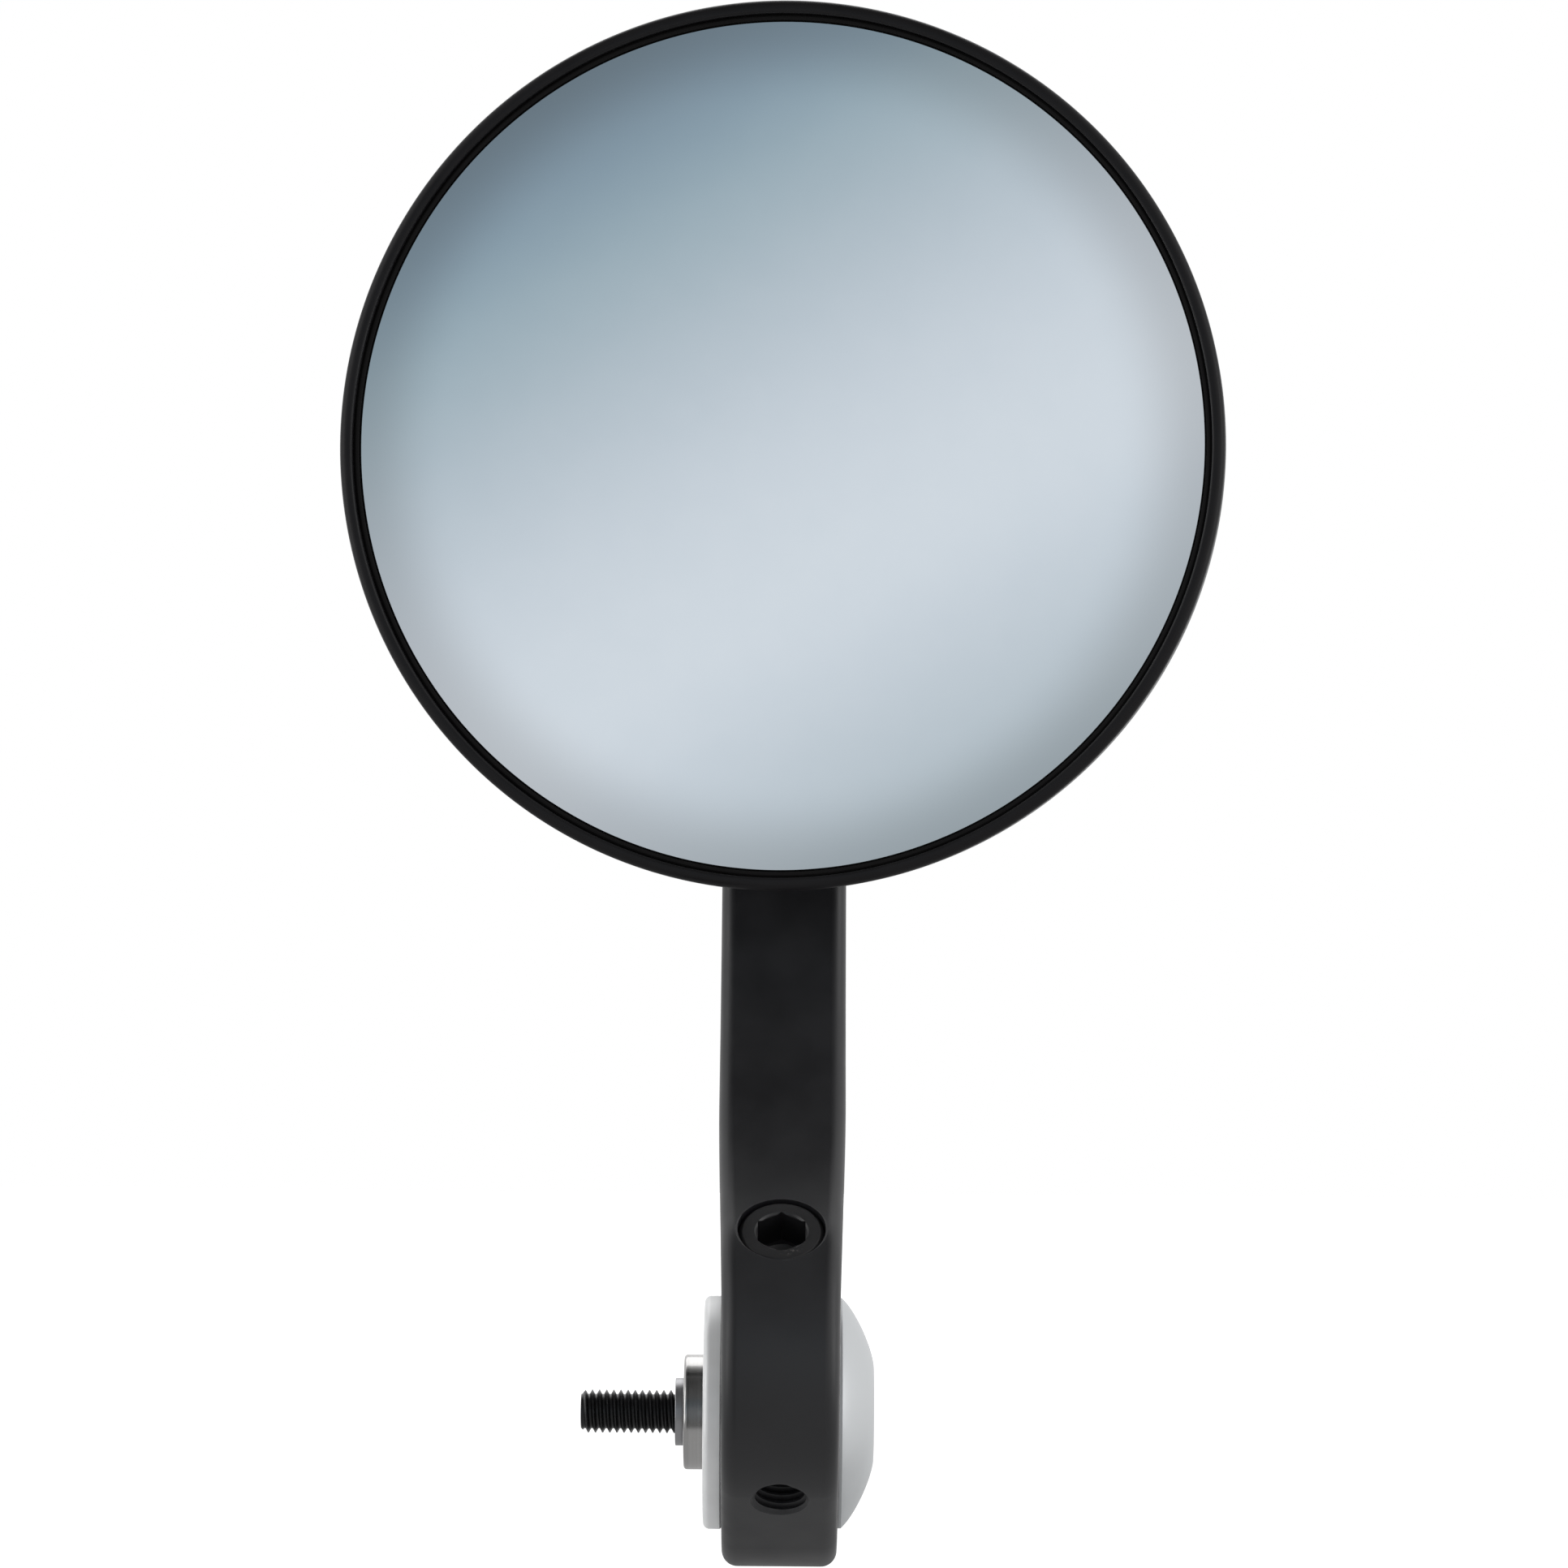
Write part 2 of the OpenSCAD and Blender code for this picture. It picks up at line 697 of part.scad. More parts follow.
module mirror_housing() {
    front = arc([head_r - rim_round, rim_s - rim_round], rim_round, 90, 0, 6);
    lip = 0.4;
    inner = arc([recess_r + lip, rim_s - lip], lip, 180, 90, 4);
    inside = back_curve(wall);
    color([0.15, 0.15, 0.16])
        on_head()
            difference() {
                union() {
                    rotate_extrude()
                        polygon(concat(inner, front, [[head_r, rim_s - rim_depth]], back_curve(0),
                            [[0, back_s], [0, back_s + wall]],
                            [for (i = [len(inside) - 1 : -1 : 0]) [min(inside[i][0], cavity_r), inside[i][1]]],
                            [[cavity_r, ledge_s], [recess_r, ledge_s]]));
                    translate([0, 0, back_s + wall / 2])
                        cylinder(h = boss_top - back_s - wall / 2, d = plate_d);
                }
                sphere(r = pocket_r);
                translate([0, 0, back_s - past])
                    cylinder(h = seal_sink + past, r = dust_r);
                each_clamp_screw()
                    translate([0, 0, clamp_tip - 0.3])
                        cylinder(h = rim_s, d = clamp_screw_d + 0.2);
            }
}

seal_sink = 0.6;
dust_r = 9.8;
dust_hole_r = 7.3;

module dust_seal() {
    color([0.1, 0.1, 0.1])
        on_head()
            translate([0, 0, back_s])
                difference() {
                    cylinder(h = seal_sink - seat_gap, r = dust_r - seat_gap);
                    translate([0, 0, -past])
                        cylinder(h = seal_sink + 2 * past, r = dust_hole_r);
                }
}

// A disc that follows the convex glass, at a depth behind its face
module follow_glass(deep, thick, r_in, r_out) {
    steps = 10;
    radii = [for (i = [0 : steps]) r_in + (r_out - r_in) * i / steps];
    rotate_extrude($fn = 144)
        polygon(concat([for (r = radii) [r, glass_s(r) - deep]],
            [for (i = [steps : -1 : 0]) [radii[i], glass_s(radii[i]) - deep - thick]]));
}

module mirror_glass() {
    color("lightsteelblue")
        on_head()
            follow_glass(0, glass_t, 0, glass_r);
}

module glass_pad() {
    color([0.2, 0.2, 0.2])
        on_head()
            follow_glass(glass_t + film, pad_t - 2 * film, plate_d / 2 + 2, glass_r - 2);
}

module glass_carrier() {
    color([0.18, 0.18, 0.18])
        on_head()
            follow_glass(glass_t + pad_t, carrier_t, plate_d / 2 + 1, recess_r - seat_gap);
}

module glass_seal() {
    proud = 0.5;
    chamfer = [0.3, 0.2];
    r_in = glass_r + 0.02;
    r_out = recess_r - 0.02;
    face = glass_s(glass_r) + proud;
    low = glass_s(glass_r) - glass_t - pad_t + seat_gap;
    color([0.08, 0.08, 0.08])
        on_head()
            rotate_extrude($fn = 144)
                polygon([[r_in, low], [r_out, low], [r_out, face - chamfer[1]], [recess_r - chamfer[0], face],
                    [r_in, face]]);
}

inner_flange();
spigot();
bolt_washer();
bar_bolt();
clamp_sleeve();
outer_cap();
inner_slip_washer();
outer_slip_washer();
arm();
lock_screw();
lock_pad();
ball_stud();
stud_screw();
stud_washer();
front_liner();
rear_liner();
mirror_housing();
dust_seal();
clamp_plate();
clamp_screws();
spring_washers();
glass_carrier();
glass_pad();
mirror_glass();
glass_seal();
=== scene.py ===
# %% [markdown]
# # A round mirror for the end of a handlebar
# The real object is a dished black head with a slightly domed glass. It stands on a machined arm
# whose lower end turns on a hub, and a black screw runs from the hub into the handlebar.
#
# The solid model already says where everything is. Blender gives each visible piece a finer mesh,
# a finish and soft light. So the first step loads the solids, and nothing after it moves them.

import json
import math

import bmesh
import bpy
from mathutils import Matrix, Vector

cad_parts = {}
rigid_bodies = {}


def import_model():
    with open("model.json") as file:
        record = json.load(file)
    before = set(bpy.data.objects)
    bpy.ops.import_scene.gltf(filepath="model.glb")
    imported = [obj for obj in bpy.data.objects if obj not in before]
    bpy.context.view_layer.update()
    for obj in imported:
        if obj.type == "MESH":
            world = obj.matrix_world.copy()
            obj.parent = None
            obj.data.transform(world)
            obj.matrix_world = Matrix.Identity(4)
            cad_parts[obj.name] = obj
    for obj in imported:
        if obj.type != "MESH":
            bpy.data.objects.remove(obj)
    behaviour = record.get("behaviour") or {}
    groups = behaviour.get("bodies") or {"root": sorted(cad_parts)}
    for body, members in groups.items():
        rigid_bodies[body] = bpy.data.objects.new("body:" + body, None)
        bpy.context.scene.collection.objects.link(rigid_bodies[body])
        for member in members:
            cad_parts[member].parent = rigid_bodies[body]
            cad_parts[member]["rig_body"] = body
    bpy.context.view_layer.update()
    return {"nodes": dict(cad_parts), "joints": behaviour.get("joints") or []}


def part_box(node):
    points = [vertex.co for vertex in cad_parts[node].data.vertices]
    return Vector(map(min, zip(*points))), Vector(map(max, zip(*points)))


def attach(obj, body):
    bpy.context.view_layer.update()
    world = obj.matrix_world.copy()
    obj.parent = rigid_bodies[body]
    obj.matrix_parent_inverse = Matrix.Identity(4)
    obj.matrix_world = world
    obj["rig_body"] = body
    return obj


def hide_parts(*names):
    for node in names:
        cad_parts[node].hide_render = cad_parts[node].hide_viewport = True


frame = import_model()
MM = 0.001

# %% [markdown]
# Sizes in this script are millimetres, and they come from the solids wherever one can be measured.
# A piece on the bar's axis is known by its two ends along X and its radius. A joint's record gives
# the centre of the ball and the direction in which the glass looks.

# %% Measure the solids


def along_bar(node):
    """Both ends along the bar, and the radius, in millimetres."""
    low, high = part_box(node)
    return low.x / MM, high.x / MM, (high.z - low.z) / 2 / MM


def find_joint(name):
    return next(joint for joint in frame["joints"] if joint["name"] == name)


spin = find_joint("head_spin")
ball = Vector(spin["pos_m"]) / MM
facing = Vector(spin["axis"])
sleeve_low, sleeve_high, sleeve_r = along_bar("clamp_sleeve")
slip_gap = 0.05
arm_low = sleeve_low + slip_gap
arm_high = sleeve_high - slip_gap
arm_mid = (arm_low + arm_high) / 2
print("ball centre", [round(x, 2) for x in ball], "arm from", round(arm_low, 2), "to", round(arm_high, 2))

# %% [markdown]
# Most pieces of this object are turned on a lathe, so one helper turns an outline into a solid.
# The outline is a list of points, each a distance along the axis and a radius. A second helper
# rounds the outline's corners first: a real edge is never perfectly sharp, and the thin highlight
# along it is much of what makes metal look like metal.

# %% Helpers for turned pieces


def arc(centre, radius, start, end, steps):
    """Points on an arc between two angles in degrees."""
    angles = [math.radians(start + (end - start) * i / steps) for i in range(steps + 1)]
    return [Vector(centre) + radius * Vector((math.cos(a), math.sin(a))) for a in angles]


def curve(start, pull, push, end, steps):
    """Points on a cubic curve, without its first one."""
    points = []
    for i in range(1, steps + 1):
        t = i / steps
        u = 1 - t
        points.append(u**3 * Vector(start) + 3 * u * u * t * Vector(pull)
                      + 3 * u * t * t * Vector(push) + t**3 * Vector(end))
    return points


def soften(outline, radius, steps=4):
    """Rounds each corner of a closed outline that turns by more than 25 degrees."""
    points = [Vector(p) for p in outline]
    made = []
    for i, corner in enumerate(points):
        back = points[i - 1] - corner
        ahead = points[(i + 1) % len(points)] - corner
        turn = math.pi - back.angle(ahead, math.pi)
        if turn < math.radians(25) or corner.y < 1e-6:
            made.append(corner)
            continue
        reach = min(radius * math.tan(turn / 2), 0.45 * back.length, 0.45 * ahead.length)
        first = corner + back.normalized() * reach
        last = corner + ahead.normalized() * reach
        shares = [k / steps for k in range(steps + 1)]
        made += [first.lerp(corner, t).lerp(corner.lerp(last, t), t) for t in shares]
    return made


def new_piece(name, shape, place):
    """Makes an object of a bmesh whose points are in millimetres."""
    bmesh.ops.scale(shape, vec=(MM, MM, MM), verts=shape.verts)
    bmesh.ops.recalc_face_normals(shape, faces=shape.faces)
    mesh = bpy.data.meshes.new(name)
    shape.to_mesh(mesh)
    shape.free()
    piece = bpy.data.objects.new(name, mesh)
    bpy.context.scene.collection.objects.link(piece)
    piece.matrix_world = place
    return piece


def smooth(piece, angle=32):
    """Shades the piece smoothly, except across edges sharper than the angle."""
    piece.data.shade_smooth()
    piece.data.set_sharp_from_angle(angle=math.radians(angle))
    return piece


def turned(name, outline, place, steps=160):
    """Turns a closed outline of (along, radius) about the +Z axis of a place."""
    shape = bmesh.new()
    rings = []
    for along, radius in outline:
        count = steps if radius > 1e-6 else 1
        angles = [math.tau * i / steps for i in range(count)]
        rings.append([shape.verts.new((radius * math.cos(a), radius * math.sin(a), along)) for a in angles])
    for low, high in zip(rings, rings[1:] + rings[:1]):
        for i in range(steps):
            j = (i + 1) % steps
            corners = [low[i % len(low)], low[j % len(low)], high[j % len(high)], high[i % len(high)]]
            corners = list(dict.fromkeys(corners))
            if len(corners) > 2:
                shape.faces.new(corners)
    return smooth(new_piece(name, shape, place))


def at_mm(x, y, z):
    return Matrix.Translation(Vector((x, y, z)) * MM)


on_bar = Matrix.Rotation(math.radians(90), 4, "Y")
print("the bar's axis points", on_bar.to_3x3() @ Vector((0, 0, 1)))

# %% [markdown]
# Sockets and holes are cut out of the turned solids, as a broach or a drill would cut them. The
# exact Boolean keeps crisp edges. Its result is kept as the mesh and the cutters are deleted, so
# that nothing of the tools stays in the file.

# %% Helpers for cutting and joining


def prism(name, sides, across, low, high, place, turn=0.0):
    """A straight prism, measured across its flats. With many sides it is a drill."""
    corner_r = across / 2 / math.cos(math.pi / sides)
    outline = [(low, 0), (low, corner_r), (high, corner_r), (high, 0)]
    return turned(name, outline, place @ Matrix.Rotation(math.radians(turn), 4, "Z"), sides)


def countersink(name, low, low_r, height, place, steps):
    """A cutter that widens at 45 degrees from a radius at its low end."""
    high = low + height
    return turned(name, [(low, 0), (low, low_r), (high, low_r + height), (high, 0)], place, steps)


def combine(piece, others, operation):
    """Adds or cuts away other objects, which are deleted."""
    for other in others:
        modifier = piece.modifiers.new("combine", "BOOLEAN")
        modifier.operation = operation
        modifier.solver = "EXACT"
        modifier.object = other
    graph = bpy.context.evaluated_depsgraph_get()
    mesh = bpy.data.meshes.new_from_object(piece.evaluated_get(graph))
    piece.modifiers.clear()
    piece.data = mesh
    for other in others:
        bpy.data.objects.remove(other)
    return smooth(piece)


def dress(piece, node, finish):
    """The piece stands for a solid, moves with its body and takes its finish."""
    solid = frame["nodes"][node]
    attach(piece, solid["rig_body"])
    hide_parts(node)
    piece.data.materials.clear()
    piece.data.materials.append(finish)
    return piece


# %% [markdown]
# ## Finishes
# Every finish is a Principled shader. What makes each one real is small: a grain that scatters the
# highlight, edges that are rubbed a little lighter, and rings that a lathe leaves. Those effects
# are shared, so each is a node group that puts out a mask or a height, and every material places it
# with its own values.

# %% Helpers for node groups


def new_group(name, inputs, outputs):
    """An empty shader group whose sockets are floats, with their default values."""
    group = bpy.data.node_groups.new(name, "ShaderNodeTree")
    for title, value in inputs.items():
        socket = group.interface.new_socket(title, in_out="INPUT", socket_type="NodeSocketFloat")
        socket.default_value = value
    for title in outputs:
        group.interface.new_socket(title, in_out="OUTPUT", socket_type="NodeSocketFloat")
    return group, group.nodes.new("NodeGroupInput"), group.nodes.new("NodeGroupOutput")


def add(tree, kind, links=None, values=None, **settings):
    """A node with its settings, its linked inputs and its plain input values."""
    node = tree.nodes.new(kind)
    for name, value in settings.items():
        setattr(node, name, value)
    for name, value in (values or {}).items():
        node.inputs[name].default_value = value
    for name, socket in (links or {}).items():
        tree.links.new(socket, node.inputs[name])
    return node


# %% [markdown]
# Grain: a bead blasted or powder coated skin is a fine random bump. Two noises give it, one at the
# size of the grain and one larger for the slight unevenness of the coat.

# %% The grain group

grain_group, source, sink = new_group("fine_grain", {"Grains per mm": 5.0}, ["Height", "Patches"])
place_node = add(grain_group, "ShaderNodeTexCoord")
per_metre = add(grain_group, "ShaderNodeMath", {0: source.outputs[0]}, {1: 1 / MM}, operation="MULTIPLY")
here = place_node.outputs["Object"]
grains = add(grain_group, "ShaderNodeTexNoise", {"Vector": here, "Scale": per_metre.outputs[0]},
             {"Detail": 2.0, "Roughness": 0.6})
patches = add(grain_group, "ShaderNodeTexNoise", {"Vector": here}, {"Scale": 160.0, "Detail": 4.0})
grain_group.links.new(grains.outputs["Fac"], sink.inputs["Height"])
grain_group.links.new(patches.outputs["Fac"], sink.inputs["Patches"])
print("fine_grain puts out", [socket.name for socket in sink.inputs if socket.name])

# %% [markdown]
# Edge wear: hands and keys rub the corners first. The Bevel node gives the normal that a rounded
# corner would have. Where it differs from the true normal there is an edge, and a noise breaks the
# line up, so that no edge is worn evenly.

# %% The edge group

edge_group, source, sink = new_group("rubbed_edges", {"Width mm": 0.3}, ["Mask"])
place_node = add(edge_group, "ShaderNodeTexCoord")
width = add(edge_group, "ShaderNodeMath", {0: source.outputs[0]}, {1: MM}, operation="MULTIPLY")
rounded = add(edge_group, "ShaderNodeBevel", {"Radius": width.outputs[0]}, samples=6)
true_normal = add(edge_group, "ShaderNodeNewGeometry")
same = add(edge_group, "ShaderNodeVectorMath", {0: rounded.outputs[0], 1: true_normal.outputs["Normal"]},
           operation="DOT_PRODUCT")
edge = add(edge_group, "ShaderNodeMapRange", {"Value": same.outputs["Value"]},
           {"From Min": 0.995, "From Max": 0.90, "To Min": 0.0, "To Max": 1.0})
breaks = add(edge_group, "ShaderNodeTexNoise", {"Vector": place_node.outputs["Object"]},
             {"Scale": 900.0, "Detail": 3.0})
patchy = add(edge_group, "ShaderNodeMapRange", {"Value": breaks.outputs["Fac"]},
             {"From Min": 0.42, "From Max": 0.62})
mask = add(edge_group, "ShaderNodeMath", {0: edge.outputs[0], 1: patchy.outputs[0]}, operation="MULTIPLY")
edge_group.links.new(mask.outputs[0], sink.inputs["Mask"])
print("rubbed_edges puts out", [socket.name for socket in sink.inputs if socket.name])

# %% [markdown]
# Lathe rings: a turned face carries very fine circles round the axis. Every turned piece here has
# its axis along its own Z, so the distance from that axis and the height along it are enough to
# place the rings: noise that varies along those two, and not round the axis, is a set of circles.

# %% The ring group

ring_group, source, sink = new_group("lathe_rings", {"Rings per mm": 9.0}, ["Height", "Streaks"])
place_node = add(ring_group, "ShaderNodeTexCoord")
split = add(ring_group, "ShaderNodeSeparateXYZ", {0: place_node.outputs["Object"]})
flat = add(ring_group, "ShaderNodeCombineXYZ", {0: split.outputs[0], 1: split.outputs[1]})
radius = add(ring_group, "ShaderNodeVectorMath", {0: flat.outputs[0]}, operation="LENGTH")
pair = add(ring_group, "ShaderNodeCombineXYZ", {0: radius.outputs["Value"], 1: split.outputs[2]})
per_metre = add(ring_group, "ShaderNodeMath", {0: source.outputs[0]}, {1: 1 / MM}, operation="MULTIPLY")
rings = add(ring_group, "ShaderNodeTexNoise", {"Vector": pair.outputs[0], "Scale": per_metre.outputs[0]},
            {"Detail": 3.0, "Roughness": 0.7})
broad = add(ring_group, "ShaderNodeTexNoise", {"Vector": pair.outputs[0]}, {"Scale": 1300.0, "Detail": 2.0})
ring_group.links.new(rings.outputs["Fac"], sink.inputs["Height"])
ring_group.links.new(broad.outputs["Fac"], sink.inputs["Streaks"])
print("lathe_rings puts out", [socket.name for socket in sink.inputs if socket.name])

# %% [markdown]
# A finish is then a colour, a roughness and the groups above. One helper wires them the same way
# each time: the patches vary the colour and the roughness a little, the grain or the rings make the
# bump, and the rubbed edges turn towards the bare metal's colour.

# %% The helper that makes a finish


def place_group(tree, group, value):
    node = tree.nodes.new("ShaderNodeGroup")
    node.node_tree = group
    node.inputs[0].default_value = value
    return node


def distance_mask(tree, vector, near, far, interpolation="SMOOTHSTEP"):
    """A mask that grows from 0 to 1 as the vector's length grows from near to far, in metres."""
    reach = add(tree, "ShaderNodeVectorMath", {0: vector}, operation="LENGTH")
    grown = add(tree, "ShaderNodeMapRange", {"Value": reach.outputs["Value"]},
                {"From Min": near, "From Max": far}, interpolation_type=interpolation)
    return grown.outputs[0]


def between(tree, factor, low, high):
    """A number that runs from low to high as the factor runs from 0.3 to 0.7."""
    return add(tree, "ShaderNodeMapRange", {"Value": factor},
               {"From Min": 0.3, "From Max": 0.7, "To Min": low, "To Max": high}).outputs[0]


def blend_colours(tree, factor, first, second):
    """Mixes two colours, each a socket or a tuple of three numbers."""
    node = add(tree, "ShaderNodeMix", data_type="RGBA")
    tree.links.new(factor, node.inputs["Factor"])
    for colour, title in ((first, "A"), (second, "B")):
        target = [socket for socket in node.inputs if socket.name == title and socket.type == "RGBA"][0]
        if isinstance(colour, tuple):
            target.default_value = (*colour, 1)
        else:
            tree.links.new(colour, target)
    return [socket for socket in node.outputs if socket.type == "RGBA"][0]


def new_finish(name, colour, rough, metal=0.0, gloss=0.5, spread=0.12, grain=None, rings=None, bump=0.05,
               bump_mm=0.02, wear=None, wear_mm=0.3, wear_most=1.0):
    """A material with a varied colour and roughness, a fine bump and, where asked, rubbed edges."""
    material = bpy.data.materials.new(name)
    material.use_nodes = True
    tree = material.node_tree
    shader = tree.nodes["Principled BSDF"]
    shader.inputs["Metallic"].default_value = metal
    shader.inputs["Specular IOR Level"].default_value = gloss
    texture = place_group(tree, ring_group, rings) if rings else place_group(tree, grain_group, grain)
    height, variation = texture.outputs[0], texture.outputs[1]
    darker = tuple(x * (1 - spread) for x in colour)
    lighter = tuple(min(1.0, x * (1 + spread)) for x in colour)
    factor = between(tree, variation, 0.0, 1.0)
    shade = blend_colours(tree, factor, darker, lighter)
    if wear:
        rubbed = place_group(tree, edge_group, wear_mm)
        most = add(tree, "ShaderNodeMath", {0: rubbed.outputs[0]}, {1: wear_most}, operation="MULTIPLY")
        shade = blend_colours(tree, most.outputs[0], shade, wear)
    tree.links.new(shade, shader.inputs["Base Color"])
    tree.links.new(between(tree, variation, rough * 0.9, rough * 1.1), shader.inputs["Roughness"])
    relief = add(tree, "ShaderNodeBump", {"Height": height}, {"Strength": bump, "Distance": bump_mm * MM})
    tree.links.new(relief.outputs[0], shader.inputs["Normal"])
    return material


# %% [markdown]
# The arm carries a satin black coat, a very dark and slightly blue grey. The head carries the same coat, but
# in a shaded copy: a slightly darker colour and a lower gloss, which paint shade onto the head so that it
# reads blacker and mirrors less. On the edges a coat is thin, so they read a little lighter. The screws are
# black oxide, which is still metal, and the rubber hardly mirrors at all.

# %% Black finishes

satin_black = new_finish("satin_black", (0.0095, 0.0095, 0.0115), rough=0.44, grain=6.0, spread=0.10,
                         bump=0.18, wear=(0.035, 0.036, 0.038), wear_mm=0.5, wear_most=0.6)
# Painted shade: the head's copy of the satin black is a little darker and less glossy than the arm's.
shaded_head_black = new_finish("shaded_head_black", (0.0085, 0.0080, 0.0090), rough=0.40, gloss=0.16, grain=6.0,
                        spread=0.10, bump=0.15, wear=(0.030, 0.031, 0.033), wear_mm=0.4, wear_most=0.5)
black_oxide = new_finish("black_oxide", (0.010, 0.010, 0.011), rough=0.36, metal=0.35, grain=8.0,
                         spread=0.25, bump=0.25, wear=(0.10, 0.10, 0.10), wear_mm=0.12, wear_most=0.35)
soft_rubber = new_finish("soft_rubber", (0.0065, 0.0060, 0.0062), rough=0.66, gloss=0.10, grain=10.0,
                         spread=0.15, bump=0.15)
moulded_black = new_finish("moulded_black", (0.020, 0.020, 0.020), rough=0.50, grain=9.0, spread=0.10,
                           bump=0.2)
cell_foam = new_finish("cell_foam", (0.035, 0.035, 0.035), rough=0.90, grain=3.0, spread=0.30, bump=0.8,
                       bump_mm=0.1)
black_finishes = [satin_black, shaded_head_black, black_oxide, soft_rubber, moulded_black, cell_foam]
print("black finishes:", [finish.name for finish in black_finishes])

# %% [markdown]
# The pale metals differ mostly in how much they mirror. The cap is blasted aluminium, dull enough to blur the
# whole room into one tone. The flange is the same aluminium in a lit copy: a paler colour with little metal
# in it, which paints light onto the flange. The spigot is turned steel and mirrors its surroundings in
# stretched bands, and the washer is dull zinc.

# %% Pale finishes

blasted_aluminium = new_finish("blasted_aluminium", (0.60, 0.615, 0.625), rough=0.60, metal=1.0, grain=11.0,
                               spread=0.03, bump=0.10, bump_mm=0.01)
# Painted light: the flange's aluminium gets a paler colour and little metal, so it reads lighter than the
# cap.
lit_flange_aluminium = new_finish("lit_flange_aluminium", (0.89, 0.90, 0.905), rough=0.35, metal=0.12, grain=9.0,
                           spread=0.05, bump=0.10, bump_mm=0.01)
turned_steel = new_finish("turned_steel", (0.43, 0.425, 0.42), rough=0.20, metal=1.0, rings=7.0, spread=0.10,
                          bump=0.35, bump_mm=0.01)
zinc_grey = new_finish("zinc_grey", (0.35, 0.35, 0.36), rough=0.38, metal=1.0, rings=5.0, spread=0.12,
                       bump=0.25)
turned_brass = new_finish("turned_brass", (0.60, 0.42, 0.18), rough=0.28, metal=1.0, rings=6.0, spread=0.10,
                          bump=0.25)
bearing_nylon = new_finish("bearing_nylon", (0.72, 0.69, 0.62), rough=0.45, grain=6.0, spread=0.05, bump=0.1)
pale_finishes = [blasted_aluminium, lit_flange_aluminium, turned_steel, zinc_grey, turned_brass, bearing_nylon]
print("pale finishes:", [finish.name for finish in pale_finishes])

# %% [markdown]
# The glass is silvered on the back. What the eye sees is the silver, through a slightly blue pane, so a metal
# with a faint blue tint is the simplest true description. Towards the rim its colour is painted a little
# darker and greyer: painted shade from the rim, with some tarnish of the silver. Slight patches in its colour
# and roughness keep the reflection from looking computed.

# %% Mirror finish

silvered = bpy.data.materials.new("silvered_glass")
silvered.use_nodes = True
silver_tree = silvered.node_tree
silver = silver_tree.nodes["Principled BSDF"]
silver.inputs["Metallic"].default_value = 1.0
haze = place_group(silver_tree, grain_group, 0.05)
haze_share = between(silver_tree, haze.outputs["Patches"], 0.0, 1.0)
middle_colour = blend_colours(silver_tree, haze_share, (0.855, 0.900, 0.925), (0.870, 0.912, 0.935))
rim_shade_from = 45.0
rim_shade_to = 60.0
rim_shade_colour = (0.66, 0.68, 0.69)
silver_place = add(silver_tree, "ShaderNodeTexCoord")
silver_split = add(silver_tree, "ShaderNodeSeparateXYZ", {0: silver_place.outputs["Object"]})
silver_flat = add(silver_tree, "ShaderNodeCombineXYZ",
                  {0: silver_split.outputs[0], 1: silver_split.outputs[1]})
# Painted shade of the rim, with some tarnish: the silver's colour turns darker and greyer towards the edge.
rim_shaded = distance_mask(silver_tree, silver_flat.outputs[0], rim_shade_from * MM, rim_shade_to * MM, "SMOOTHERSTEP")
silver_colour = blend_colours(silver_tree, rim_shaded, middle_colour, rim_shade_colour)
silver_tree.links.new(silver_colour, silver.inputs["Base Color"])
silver_tree.links.new(between(silver_tree, haze.outputs["Patches"], 0.015, 0.03), silver.inputs["Roughness"])
print("mirror finish:", silvered.name)

# %% [markdown]
# ## The hub
# The hub is a stack of turned pieces on the bar's axis. From the bar outwards they are a steel
# spigot, a pale flange, the arm, and a domed cap. Each outline repeats the solid's, with the soft
# corners that the solid leaves out.

# %% Flange

clear_r = 3.2
seat_gap = 0.1
foot_step = 0.8
flange_round = 0.9
flange_break = 0.25
flange_low, flange_high, flange_r = along_bar("inner_flange")
spigot_low, foot_high, foot_r = along_bar("spigot")
seat_r = foot_r + seat_gap
seat_floor = foot_high + seat_gap
flange_outline = [(seat_floor, clear_r), (seat_floor, seat_r), (flange_low, seat_r)]
flange_outline += arc((flange_low + flange_round, flange_r - flange_round), flange_round, 180, 90, 10)
flange_outline += [(flange_high - flange_break, flange_r), (flange_high, flange_r - flange_break),
                   (flange_high, clear_r)]
flange = turned("hub_flange", soften(flange_outline, radius=0.12), on_bar, steps=224)
dress(flange, "inner_flange", lit_flange_aluminium)

# %% [markdown]
# The spigot's foot lies in a seat that is turned into the flange, so the spigot has a step where it
# leaves the flange's face. The washer on the bolt is a small plain collar.

# %% Spigot and washer

spigot_round = 0.5
spigot_r = foot_r - foot_step
spigot_outline = [(spigot_low, clear_r)]
spigot_outline += arc((spigot_low + spigot_round, spigot_r - spigot_round), spigot_round, 180, 90, 8)
spigot_outline += [(flange_low, spigot_r), (flange_low, foot_r), (foot_high, foot_r), (foot_high, clear_r)]
spigot = turned("bar_spigot", soften(spigot_outline, radius=0.08), on_bar, steps=192)
dress(spigot, "spigot", turned_steel)

washer_low, washer_high, washer_r = along_bar("bolt_washer")
washer_outline = [(washer_low, clear_r), (washer_low, washer_r), (washer_high, washer_r),
                  (washer_high, clear_r)]
washer = turned("small_washer", soften(washer_outline, radius=0.16), on_bar, steps=128)
dress(washer, "bolt_washer", zinc_grey)

# %% [markdown]
# The cap's dome is the curve of the solid: steep at the rim, nearly flat towards the middle, where
# a recess takes the head of the bolt.

# %% Cap

